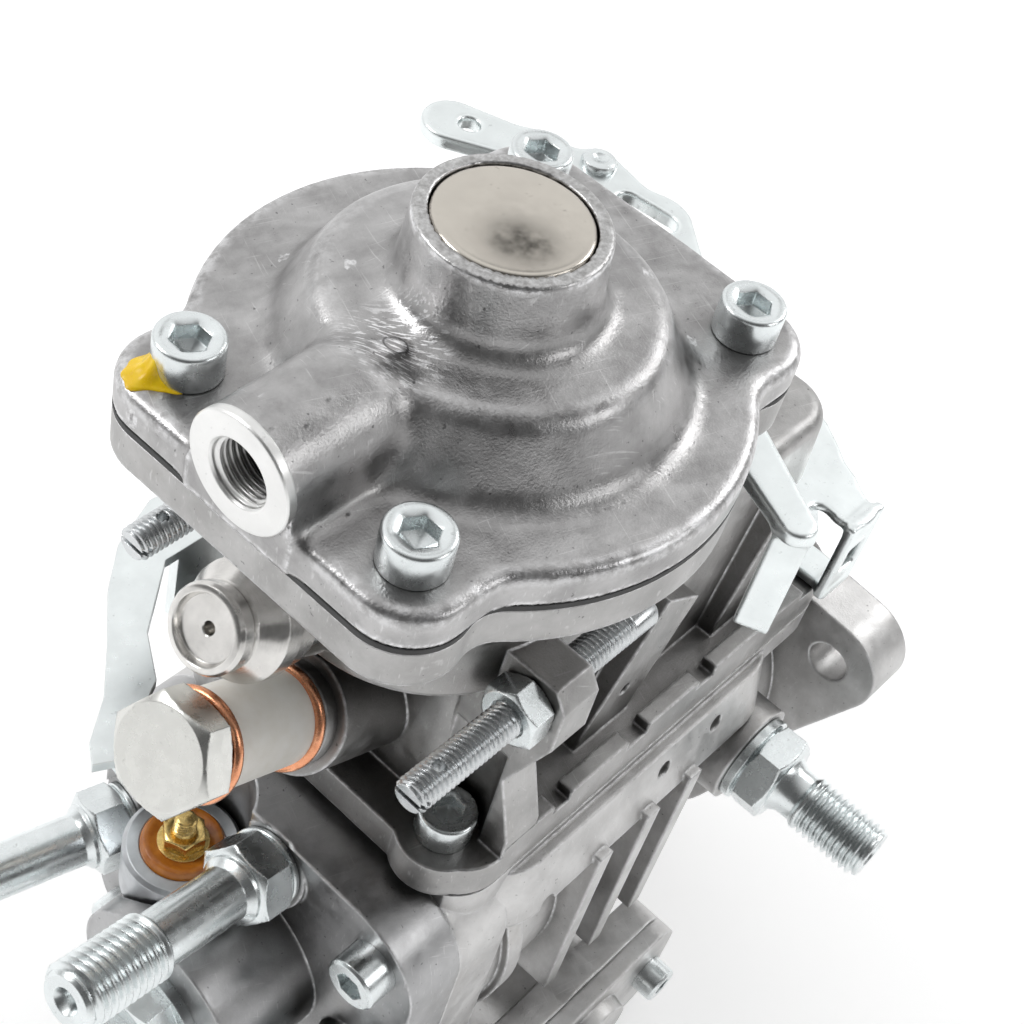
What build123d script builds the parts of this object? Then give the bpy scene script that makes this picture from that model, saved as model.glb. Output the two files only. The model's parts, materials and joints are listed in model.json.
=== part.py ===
"""Rotary distributor diesel injection pump with a boost compensator on its governor cover.

Frame: origin where the drive shaft axis meets the face of the drive flange, +X out of the
drive end, +Y to the left seen from the fuel outlets, +Z up. All sizes are in millimetres.
"""
from build123d import *
import math
import os

os.makedirs("parts", exist_ok=True)

# ---- drive end and housing ----
pilot_radius = 25.0
pilot_height = 6.0
flange_thickness = 12.0
flange_bolt_radius = 48.0
flange_hole_radius = 4.5
housing_rear = -120.0
housing_top = 40.0
housing_half_width = 31.0
barrel_radius = 37.0
shoulder_half_width = 39.5
cavity_radius = 30.5
pump_recess_radius = 27.0
bush_outer_radius = 12.5
seal_outer_radius = 17.0
shaft_radius = 10.0
fit = 0.05

# ---- governor cover ----
gasket_thickness = 0.6
cover_base = housing_top + gasket_thickness
cover_flange_top = 48.0
cover_top = 88.0
cover_rear = -122.0
cover_front = -10.0
cover_half_width = 34.5
cover_wall_y = 25.0
cover_inner_y = 21.0
chamber_middle = -67.8
chamber_length = 78.5
lip_lengths = [(-112, -99.4), (-94.9, -79.3), (-73.5, -58.9), (-53.7, -25.8)]
gusset_corners = [[(-72, 78), (-61, 71), (-72, 48), (-87, 48)], [(-38, 76), (-28, 70), (-34, 48), (-47, 48)]]
cover_screw_x = (-115.5, -19.7)
cover_screw_y = 24.0
bracket_screw = (cover_screw_x[1], -cover_screw_y)
rear_bracket_screw = (cover_screw_x[0], cover_screw_y)
bracket_thickness = 2.0
bracket_height = 68.0
m6_head_radius = 5.0
m6_head_height = 6.0
m6_socket = 5.0

# ---- boost compensator, standing on the cover ----
compensator_x = -104.0
compensator_top = 132.0
cap_flange = 6.0
diaphragm_thickness = 1.0
lower_flange = 6.5
compensator_radius = 41.0
ear_x = 35.4
ear_y = 21.0
ear_radius = 9.4
tower_radius = 13.65
tower_bore = 11.5
tower_height = 23.7
port_radius = 8.86
port_height = 4.8
dome_corners = [((30.5, 0), 4.0), ((24.6, 11.2), 2.4), ((14.6, 12.0), 3.0), ((tower_radius, tower_height), 0.5)]
port_face_x = -46.3
port_end_x = -28.0
port_end_radius = 9.2
split_height = compensator_top - cap_flange
lower_top = split_height - diaphragm_thickness
lower_base = lower_top - lower_flange
plate_radius = 22.0
well_floor = 98.0

# ---- inclined rear fittings ----
incline = 26.5
return_face = (-159.0, 0.0, 83.0)
return_length = 32.0
tamper_face = (-147.7, 4.7, 98.6)
tamper_to_boss = 22.5

# ---- speed control lever and its two stop screws ----
lever_x = -48.0
lever_plane = 104.0
lever_thickness = 3.0
lever_range = 24.0
stop_screw_y = 29.5
stop_screw_z = 87.0
stop_screw_rear = -138.6
stop_screw_tip = -84.0
lug_x = -108.5
tab_thickness = 2.4

# ---- distributor head and outlets ----
head_flange_rear = -132.0
head_half_width = 38.0
head_screw_place = 28.5
head_barrel_radius = 19.0
head_barrel_rear = -152.0
outlet_base_radius = 30.0
outlet_splay = 14.0
outlet_turn = 7.0
solenoid_place = (-137.0, 12.5)
solenoid_radius = 10.5
solenoid_seat = 10.0
solenoid_top = 21.0

# ---- governor and fuelling parts ----
governor_z = 43.5
governor_pin_radius = 3.0
drive_gear_teeth = 34
cage_gear_teeth = 24
gear_module = 1.5
gear_rear = -55.0
gear_width = 6.0
plunger_radius = 5.0
lever_pin_x = -98.4
lever_pin_z = 24.0
timing_x = -76.0
timing_z = -44.0
timing_radius = 11.5
timing_length = 45.0
roller_count = 4


def facing(origin, direction, across=(0, 1, 0)):
    """Plane at a point whose z axis is the given direction."""
    return Plane(origin=origin, x_dir=across, z_dir=direction)


def rearward(x, y, z):
    """Plane facing the outlet end, straight along the shaft."""
    return facing((x, y, z), (-1, 0, 0))


def turned(outline, base=Plane.XY, bore=0.0):
    """Solid turned about a plane's z axis from its (radius, height) outline."""
    half_plane = Plane(origin=base.origin, x_dir=base.x_dir, z_dir=-base.y_dir)
    with BuildPart() as solid:
        with BuildSketch(half_plane):
            with BuildLine():
                Polyline(*outline, close=True)
            make_face()
        revolve(axis=Axis(base.origin, base.z_dir))
        if bore:
            with BuildSketch(base):
                Circle(bore)
            extrude(amount=400, both=True, mode=Mode.SUBTRACT)
    return solid.part


def hex_piece(base, across_flats, height, bore=0.0, crowned=True):
    """Hexagon nut or head standing on a plane, its outer corners turned off at 30 degrees."""
    corner = across_flats / math.sqrt(3)
    drop = (corner - across_flats / 2) * math.tan(math.radians(30))
    cone = [(0, 0), (corner + 1, 0), (corner + 1, height - drop - 0.6),
            (across_flats / 2 - 0.3, height), (0, height)]
    with BuildPart() as piece:
        with BuildSketch(base):
            RegularPolygon(across_flats / 2, 6, major_radius=False)
            if bore:
                Circle(bore, mode=Mode.SUBTRACT)
        extrude(amount=height)
        if crowned:
            add(turned(cone, base), mode=Mode.INTERSECT)
    return piece.part


def socket_screws(planes, head_radius, head_height, socket, shank_radius, shank_length):
    """Group of socket head cap screws, heads on the given planes and shanks below them."""
    head = [(0, 0), (head_radius, 0), (head_radius, head_height - 0.5),
            (head_radius - 0.5, head_height), (0, head_height)]
    with BuildPart() as group:
        for base in planes:
            add(turned(head, base))
            with BuildSketch(base.offset(-shank_length)):
                Circle(shank_radius)
            extrude(amount=shank_length)
            with BuildSketch(base.offset(head_height)):
                RegularPolygon(socket / 2, 6, major_radius=False)
            extrude(amount=-head_height * 0.55, mode=Mode.SUBTRACT)
    return group.part


def coil_spring(base, coil_radius, wire_radius, length, turns):
    """Compression spring on a plane, its wire swept along a helix."""
    travel = length - 2 * wire_radius
    start = base.origin + base.z_dir * wire_radius
    with BuildPart() as spring:
        with BuildLine():
            path = Helix(pitch=travel / turns, height=travel, radius=coil_radius, center=start, direction=base.z_dir)
        with BuildSketch(Plane(origin=path @ 0, z_dir=path % 0)):
            RegularPolygon(wire_radius, 6)
        sweep(path=path, is_frenet=True)
    return spring.part


def toothed_disc(base, teeth, width, bore, start_angle):
    """Spur gear with straight-sided teeth and running clearance between the flanks."""
    pitch_radius = gear_module * teeth / 2
    tip = pitch_radius + 0.8 * gear_module
    root = pitch_radius - 1.15 * gear_module
    step = 360 / teeth
    tooth = [(root - 0.4, -0.24 * step), (tip, -0.11 * step), (tip, 0.11 * step), (root - 0.4, 0.24 * step)]
    corners = [(radius * math.cos(math.radians(turn)), radius * math.sin(math.radians(turn)))
               for radius, turn in tooth]
    with BuildPart() as gear:
        with BuildSketch(base):
            Circle(root)
            with PolarLocations(0, teeth, start_angle=start_angle):
                Polygon(*corners, align=None)
            Circle(bore, mode=Mode.SUBTRACT)
        extrude(amount=width)
    return gear.part


def save(piece, name):
    """Label a finished piece and write its STEP file."""
    piece.label = name
    export_step(piece, f"parts/{name}.step")


ear_places = [(x, y) for x in (-ear_x, ear_x) for y in (-ear_y, ear_y)]
compensator = Plane(origin=(compensator_x, 0, compensator_top))
tilt = math.radians(incline)
fitting_direction = (-math.cos(tilt), 0, math.sin(tilt))


def along_incline(point, distance):
    """Point moved outwards along the axis of the inclined rear fittings."""
    return tuple(p + distance * d for p, d in zip(point, fitting_direction))


# ================= compensator =================
# round flange with a straight-sided pair of screw ears at the front and at the rear
with BuildSketch() as compensator_outline:
    Circle(compensator_radius)
    for side in (-1, 1):
        with Locations((side * ear_x, 0)):
            SlotOverall(2 * ear_y + 2 * ear_radius, 2 * ear_radius, rotation=90)
    waists = [v for v in compensator_outline.vertices() if abs(math.hypot(v.X, v.Y) - compensator_radius) < 0.1]
    fillet(waists, radius=7)

with BuildPart() as compensator_cap:
    with BuildSketch(compensator.offset(-cap_flange)):
        add(compensator_outline.sketch)
    extrude(amount=cap_flange)
    rim = compensator_cap.faces().sort_by(Axis.Z)[-1].outer_wire().edges()
    fillet(rim, radius=2.5)
    # stepped dome with its tower, corners rounded as cast
    with BuildSketch(Plane(origin=compensator.origin, x_dir=(1, 0, 0), z_dir=(0, -1, 0))) as dome_profile:
        with BuildLine():
            Polyline((0, -1), (35, -1), (35, 0), *[corner for corner, radius in dome_corners], (0, tower_height), close=True)
        make_face()
        for corner, radius in dome_corners:
            fillet(dome_profile.vertices().sort_by_distance((*corner, 0))[0], radius=radius)
    revolve(axis=Axis(compensator.origin, (0, 0, 1)))
    # pressure port: an arch standing on the flange, from a rounded inner end to a round machined face
    port_start = Plane(origin=(compensator_x, 0, compensator_top + port_height), x_dir=(0, 1, 0), z_dir=(-1, 0, 0))
    arch_drop = port_height + cap_flange
    with BuildSketch(port_start.offset(-port_end_x)):
        Circle(port_end_radius)
        with Locations((0, arch_drop / 2)):
            Rectangle(2 * port_end_radius, arch_drop)
    with BuildSketch(port_start.offset(-port_face_x - 1)):
        Circle(port_radius - 0.1)
        with Locations((0, arch_drop / 2)):
            Rectangle(2 * port_radius - 0.2, arch_drop)
    loft()
    with BuildSketch(port_start.offset(-port_face_x - 4)):
        Circle(port_radius)
    extrude(amount=4)
    with Locations((compensator_x + port_end_x, 0, compensator_top + port_height)):
        Sphere(port_end_radius)
    # boss of the ejector mark on the shoulder
    with BuildSketch(compensator.offset(11)):
        with Locations((-20.1, -0.2)):
            Circle(1.7)
    extrude(amount=1.0)
    # diaphragm chamber, bore for the stroke screw and recess for the closing plug
    chamber = [(0, -cap_flange), (30, -cap_flange), (28.5, -2.5), (23, 1.5), (21, 7.5), (8, 8.2),
               (8, tower_height - 6.5), (tower_bore, tower_height - 6.5), (tower_bore, tower_height), (0, tower_height)]
    add(turned(chamber, compensator), mode=Mode.SUBTRACT)
    with BuildSketch(port_start.offset(-port_face_x)):
        Circle(4.6)
    extrude(amount=-12, mode=Mode.SUBTRACT)
    with BuildSketch(port_start.offset(-port_face_x - 11)):
        Circle(2.2)
    extrude(amount=-20, mode=Mode.SUBTRACT)
    with BuildSketch(compensator):
        with Locations(*ear_places):
            Circle(3.3)
    extrude(amount=-cap_flange, mode=Mode.SUBTRACT)
save(compensator_cap.part, "compensator_cap")

plug_outline = [(0, -5.4), (tower_bore, -5.4), (tower_bore, -0.9), (tower_bore - 0.5, -0.2), (tower_bore - 2.0, 0.1),
                (5.0, 0.35), (0, 0.4)]
save(turned(plug_outline, compensator.offset(tower_height)), "cap_plug")

with BuildPart() as compensator_diaphragm:
    with BuildSketch(Plane.XY.offset(lower_top)):
        with Locations((compensator_x, 0)):
            add(compensator_outline.sketch)
            Circle(plate_radius + 0.4, mode=Mode.SUBTRACT)
        with Locations(*[(compensator_x + x, y) for x, y in ear_places]):
            Circle(3.3, mode=Mode.SUBTRACT)
    extrude(amount=diaphragm_thickness)
save(compensator_diaphragm.part, "compensator_diaphragm")

compensator_screw_planes = [Plane(origin=(compensator_x + x, y, compensator_top)) for x, y in ear_places]
save(socket_screws(compensator_screw_planes, m6_head_radius, m6_head_height, m6_socket, 3.0, 16), "cap_screws")

pin_outline = [(0, 74), (2.0, 74), (2.0, 78), (3.2, 78), (3.2, 88), (4.0, 88), (4.0, lower_top - 2.2),
               (plate_radius, lower_top - 2.2), (plate_radius, split_height + 1.7), (0, split_height + 1.7)]
save(turned(pin_outline, Plane(origin=(compensator_x, 0, 0))), "compensator_pin")
spring_floor = Plane(origin=(compensator_x, 0, well_floor))
save(coil_spring(spring_floor, 11.0, 1.1, lower_top - 2.2 - well_floor, 4), "compensator_spring")

# ================= governor cover =================
slope = Plane(origin=along_incline(return_face, -return_length), x_dir=(0, 1, 0), z_dir=fitting_direction)
tamper_boss = facing(along_incline(tamper_face, -tamper_to_boss), fitting_direction)
cover_middle = (cover_rear + cover_front) / 2
cover_length = cover_front - cover_rear

with BuildPart() as governor_cover:
    with BuildSketch(Plane.XY.offset(cover_base)):
        with Locations((cover_middle, 0)):
            RectangleRounded(cover_length, 2 * cover_half_width, 10)
    extrude(amount=cover_flange_top - cover_base)
    # lip along both sides, in four lengths with a notch in the flange between each two
    for side in (-1, 1):
        with BuildSketch(Plane.XY.offset(cover_flange_top)):
            for start, end in lip_lengths:
                with Locations(((start + end) / 2, side * (cover_half_width - 1.6))):
                    Rectangle(end - start, 3.2)
        extrude(amount=2.4)
        with BuildSketch(Plane.XY.offset(cover_flange_top - 3)):
            for (start, end), (next_start, next_end) in zip(lip_lengths, lip_lengths[1:]):
                with Locations(((end + next_start) / 2, side * cover_half_width)):
                    Circle((next_start - end) / 2)
        extrude(amount=3, mode=Mode.SUBTRACT)
    with BuildSketch(Plane.XY.offset(cover_flange_top)):
        with Locations((cover_middle + 1, 0)):
            RectangleRounded(cover_length - 14, 2 * cover_wall_y, 9)
    with BuildSketch(Plane.XY.offset(cover_top)):
        with Locations((cover_middle + 1, 0)):
            RectangleRounded(cover_length - 18, 2 * cover_wall_y - 3, 9)
    loft()
    fillet(governor_cover.faces().sort_by(Axis.Z)[-1].edges(), radius=3)
    # the rear of the cover slopes up and forwards
    with BuildSketch(slope.offset(-6)):
        Rectangle(120, 120)
    extrude(amount=60, mode=Mode.SUBTRACT)
    with BuildSketch(Plane.XY.offset(cover_base)):
        with Locations((cover_middle, 0)):
            RectangleRounded(cover_length, 2 * cover_half_width, 10)
    extrude(amount=cover_flange_top - cover_base)
    # bosses for the return bolt and for the full load screw
    with BuildSketch(slope.offset(-22)):
        Circle(10.5)
    extrude(amount=22)
    with BuildSketch(tamper_boss.offset(-18)):
        Circle(8.0)
    extrude(amount=18)
    # lower half of the compensator
    bowl = [(0, 84), (25, 84), (25, 96), (27.5, 106), (30, 113), (36, lower_base + 0.2), (36, lower_top - 0.5), (0, lower_top - 0.5)]
    add(turned(bowl, Plane(origin=(compensator_x, 0, 0))))
    with BuildSketch(Plane.XY.offset(lower_base)):
        with Locations((compensator_x, 0)):
            add(compensator_outline.sketch)
    extrude(amount=lower_flange)
    # boss of the speed lever shaft
    add(turned([(0, 80), (13, 80), (11, cover_top + 4), (10, 100.5), (9.4, 101.5), (0, 101.5)], Plane(origin=(lever_x, 0, 0))))
    # lugs of the stop screws, each running down to the flange as a gusset
    for side in (-1, 1):
        with BuildSketch(Plane.YZ.offset(lug_x - 4)):
            with BuildLine():
                Polyline((side * 18, 48), (side * 34.4, 48), (side * 34.4, 53), (side * 30, 66),
                         (side * 36.0, 81), (side * 36.0, 90), (side * 33.5, 93.5), (side * 22, 93.5),
                         (side * 18, 86), close=True)
            make_face()
        extrude(amount=8)
        # slanting gussets on the side wall
        for corners in gusset_corners:
            with BuildSketch(Plane.XZ.offset(-side * 22)):
                Polygon(*corners, align=None)
            extrude(amount=side * -6.4)
        with BuildSketch(Plane.XZ.offset(-side * 28.4)):
            with Locations((-76, 57)):
                Circle(1.3)
        extrude(amount=side * 1.5, mode=Mode.SUBTRACT)
    # pads under the four corner screws
    with BuildSketch(Plane.XY.offset(cover_base)):
        with Locations(*[(x, side * cover_screw_y) for x in cover_screw_x for side in (-1, 1)]):
            Circle(8.2)
    extrude(amount=cover_flange_top - cover_base)
    # room for the screw heads beside the walls
    with BuildSketch(Plane.XY.offset(cover_flange_top)):
        with Locations(*[(x, side * cover_screw_y) for x in cover_screw_x for side in (-1, 1)]):
            Circle(6.2)
    extrude(amount=24, mode=Mode.SUBTRACT)
    # spot face for the full load nut
    with BuildSketch(tamper_boss):
        Circle(8.6)
    extrude(amount=30, mode=Mode.SUBTRACT)
    # inner chamber
    with BuildSketch(Plane.XY.offset(cover_base)):
        with Locations((chamber_middle, 0)):
            RectangleRounded(chamber_length, 2 * cover_inner_y, 6)
    extrude(amount=cover_top - 5 - cover_base, mode=Mode.SUBTRACT)
    well = [(0, well_floor), (20, well_floor), (24, 102), (29.5, 118), (31, lower_top), (0, lower_top)]
    add(turned(well, Plane(origin=(compensator_x, 0, 0))), mode=Mode.SUBTRACT)
    with BuildSketch(Plane.XY.offset(70)):
        with Locations((compensator_x, 0)):
            Circle(4.0 + fit)
    extrude(amount=40, mode=Mode.SUBTRACT)
    with BuildSketch(Plane.XY.offset(70)):
        with Locations((lever_x, 0)):
            Circle(5.0 + fit)
    extrude(amount=40, mode=Mode.SUBTRACT)
    with BuildSketch(slope.offset(-28)):
        Circle(5.0)
    extrude(amount=28, mode=Mode.SUBTRACT)
    with BuildSketch(tamper_boss.offset(-26)):
        Circle(3.5)
    extrude(amount=26, mode=Mode.SUBTRACT)
    with BuildSketch(Plane.YZ.offset(lug_x - 5)):
        with Locations((stop_screw_y, stop_screw_z), (-stop_screw_y, stop_screw_z)):
            Circle(3.0)
    extrude(amount=10, mode=Mode.SUBTRACT)
    with BuildSketch(Plane.XY.offset(cover_base)):
        with Locations(*[(x, side * cover_screw_y) for x in cover_screw_x for side in (-1, 1)]):
            Circle(3.3)
    extrude(amount=12, mode=Mode.SUBTRACT)
    with BuildSketch(Plane.XY.offset(lower_base)):
        with Locations(*[(compensator_x + x, y) for x, y in ear_places]):
            Circle(3.0)
    extrude(amount=lower_flange, mode=Mode.SUBTRACT)
save(governor_cover.part, "governor_cover")

cover_screw_places = [(x, side * cover_screw_y) for x in cover_screw_x for side in (-1, 1)]
with BuildPart() as cover_gasket:
    with BuildSketch(Plane.XY.offset(housing_top)):
        with Locations((cover_middle, 0)):
            RectangleRounded(cover_length - 2, 2 * cover_half_width - 2, 9)
        with Locations((chamber_middle, 0)):
            RectangleRounded(chamber_length, 2 * cover_inner_y, 6, mode=Mode.SUBTRACT)
        with Locations(*cover_screw_places):
            Circle(3.3, mode=Mode.SUBTRACT)
    extrude(amount=gasket_thickness)
save(cover_gasket.part, "cover_gasket")

raised_screws = (bracket_screw, rear_bracket_screw)
cover_screw_planes = [Plane(origin=(*place, cover_flange_top + (bracket_thickness if place in raised_screws else 0)))
                      for place in cover_screw_places]
save(socket_screws(cover_screw_planes, m6_head_radius, m6_head_height, m6_socket, 3.0, 16), "cover_screws")

# ---- inclined fittings on the rear of the cover ----
return_plane = facing(return_face, fitting_direction)
head_base = return_plane.offset(-8.5)
with BuildPart() as return_bolt:
    add(hex_piece(head_base, 19.0, 8.5))
    with BuildSketch(head_base.offset(-34)):
        Circle(5.0)
    extrude(amount=34)
    with BuildSketch(head_base.offset(-34)):
        Circle(2.5)
    extrude(amount=26, mode=Mode.SUBTRACT)
save(return_bolt.part, "return_bolt")

washer = [(5.05, 0), (9.6, 0), (9.6, 1.5), (5.05, 1.5)]
with BuildPart() as copper_washers:
    add(turned(washer, head_base.offset(-1.5)))
    add(turned(washer, return_plane.offset(-return_length)))
save(copper_washers.part, "copper_washers")
sleeve_length = return_length - 8.5 - 3.0
sleeve = [(5.1, 0), (8.9, 0), (8.9, sleeve_length), (5.1, sleeve_length)]
save(turned(sleeve, return_plane.offset(-return_length + 1.5)), "return_sleeve")

with BuildPart() as full_load_screw:
    with BuildSketch(tamper_boss.offset(-17)):
        Circle(3.5)
    extrude(amount=17 + 15)
    with BuildSketch(tamper_boss.offset(15)):
        Rectangle(1.2, 8)
    extrude(amount=-1.5, mode=Mode.SUBTRACT)
save(full_load_screw.part, "full_load_screw")
save(hex_piece(tamper_boss, 13.0, 6.0, bore=3.5), "full_load_nut")
tamper_outline = [(3.6, 6.2), (8.4, 6.2), (8.4, 10.4), (9.3, 11.2), (9.3, 14.6), (8.6, 15.4), (6.6, 18.2), (6.6, 18.8),
                  (6.9, 19.4), (6.9, 21.6), (6.3, 22.4), (5.4, 22.4), (5.0, 21.0), (1.0, 21.0), (1.0, 17.2), (3.6, 17.2)]
save(turned(tamper_outline, tamper_boss), "tamper_cap")

# ---- stop screws for the speed lever ----
with BuildPart() as stop_screws:
    with BuildSketch(Plane.YZ.offset(stop_screw_rear)):
        with Locations((stop_screw_y, stop_screw_z), (-stop_screw_y, stop_screw_z)):
            Circle(3.0)
    extrude(amount=stop_screw_tip - stop_screw_rear)
    with BuildSketch(Plane.YZ.offset(stop_screw_rear)):
        with Locations((stop_screw_y, stop_screw_z), (-stop_screw_y, stop_screw_z)):
            Rectangle(7, 1.0)
    extrude(amount=1.8, mode=Mode.SUBTRACT)
    with BuildSketch(Plane.XY.offset(stop_screw_z - 4)):
        with Locations((stop_screw_rear + 6, stop_screw_y), (stop_screw_rear + 6, -stop_screw_y)):
            Circle(0.9)
    extrude(amount=8, mode=Mode.SUBTRACT)
save(stop_screws.part, "stop_screws")
with BuildPart() as stop_nuts:
    for side in (-1, 1):
        add(hex_piece(rearward(lug_x - 4, side * stop_screw_y, stop_screw_z), 10.0, 5.0, bore=3.0))
save(stop_nuts.part, "stop_screw_nuts")

# ---- speed lever on its shaft ----
with BuildPart() as control_shaft:
    with BuildSketch(Plane.XY.offset(66)):
        with Locations((lever_x, 0)):
            Circle(5.0)
    extrude(amount=lever_plane + lever_thickness - 66)
    with BuildSketch(Plane.XY.offset(lever_plane + lever_thickness)):
        with Locations((lever_x, 0)):
            Circle(3.4)
    extrude(amount=7.5)
    with BuildSketch(Plane.XY.offset(66)):
        with Locations((lever_x, 0)):
            SlotOverall(22, 9)
    extrude(amount=3)
    with BuildSketch(Plane.XY.offset(63)):
        with Locations((lever_x - 7.5, 0)):
            Circle(1.6)
    extrude(amount=3)
save(control_shaft.part, "control_shaft")

pivot = (lever_x, 0)
elbow = (-28, 30)
cable_end = (-39.5, 61)
stop_reach = math.hypot(stop_screw_tip + tab_thickness / 2 - lever_x, stop_screw_y)
stop_angle = math.degrees(math.atan2(stop_screw_y, stop_screw_tip + tab_thickness / 2 - lever_x))
full_angle = -stop_angle + lever_range


def around_pivot(reach, angle):
    """Point of the lever plane at a reach and an angle from the pivot."""
    return (lever_x + reach * math.cos(math.radians(angle)), reach * math.sin(math.radians(angle)))


idle_tab = around_pivot(stop_reach, stop_angle)
full_tab = around_pivot(stop_reach, full_angle)
arms = [(pivot, 12, elbow, 9), (elbow, 9, cable_end, 7), (pivot, 11, idle_tab, 3.4), (pivot, 11, full_tab, 3.4)]
with BuildPart() as control_lever:
    for start, start_radius, end, end_radius in arms:
        with BuildSketch(Plane.XY.offset(lever_plane)):
            with Locations(start):
                Circle(start_radius)
            with Locations(end):
                Circle(end_radius)
            make_hull()
        extrude(amount=lever_thickness)
    with BuildSketch(Plane.XY.offset(stop_screw_z - 6)):
        with Locations(idle_tab):
            Rectangle(tab_thickness, 6)
        with Locations(full_tab):
            Rectangle(tab_thickness, 6, rotation=lever_range)
    extrude(amount=lever_plane - stop_screw_z + 6)
    with BuildSketch(Plane.XY.offset(lever_plane)):
        with Locations(pivot):
            Circle(5.0)
        with Locations((-38.5, 56.5)):
            Circle(2.0)
        with Locations((-30, 44)):
            RegularPolygon(4.2, 6)
        with Locations((-28, 24)):
            SlotOverall(11, 5, rotation=65)
    extrude(amount=lever_thickness, mode=Mode.SUBTRACT)
save(control_lever.part, "control_lever")
with BuildPart() as lever_nut:
    add(hex_piece(Plane(origin=(lever_x, 0, lever_plane + lever_thickness + 1.2)), 10.0, 5.0, bore=3.4))
    with BuildSketch(Plane.XY.offset(lever_plane + lever_thickness)):
        with Locations(pivot):
            Circle(7.5)
            Circle(3.4, mode=Mode.SUBTRACT)
    extrude(amount=1.2)
save(lever_nut.part, "lever_nut")

# ================= pump housing =================
timing_axis = Plane(origin=(timing_x, 0, timing_z), x_dir=(1, 0, 0), z_dir=(0, 1, 0))
lobe_places = [(flange_bolt_radius * math.cos(math.radians(angle)), flange_bolt_radius * math.sin(math.radians(angle)))
               for angle in (30, 150, 270)]
timer_screw_planes = [Plane(origin=(timing_x + x, side * (timing_length + 4), timing_z), x_dir=(1, 0, 0),
                            z_dir=(0, side, 0)) for side in (-1, 1) for x in (-22, 22)]

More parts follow.
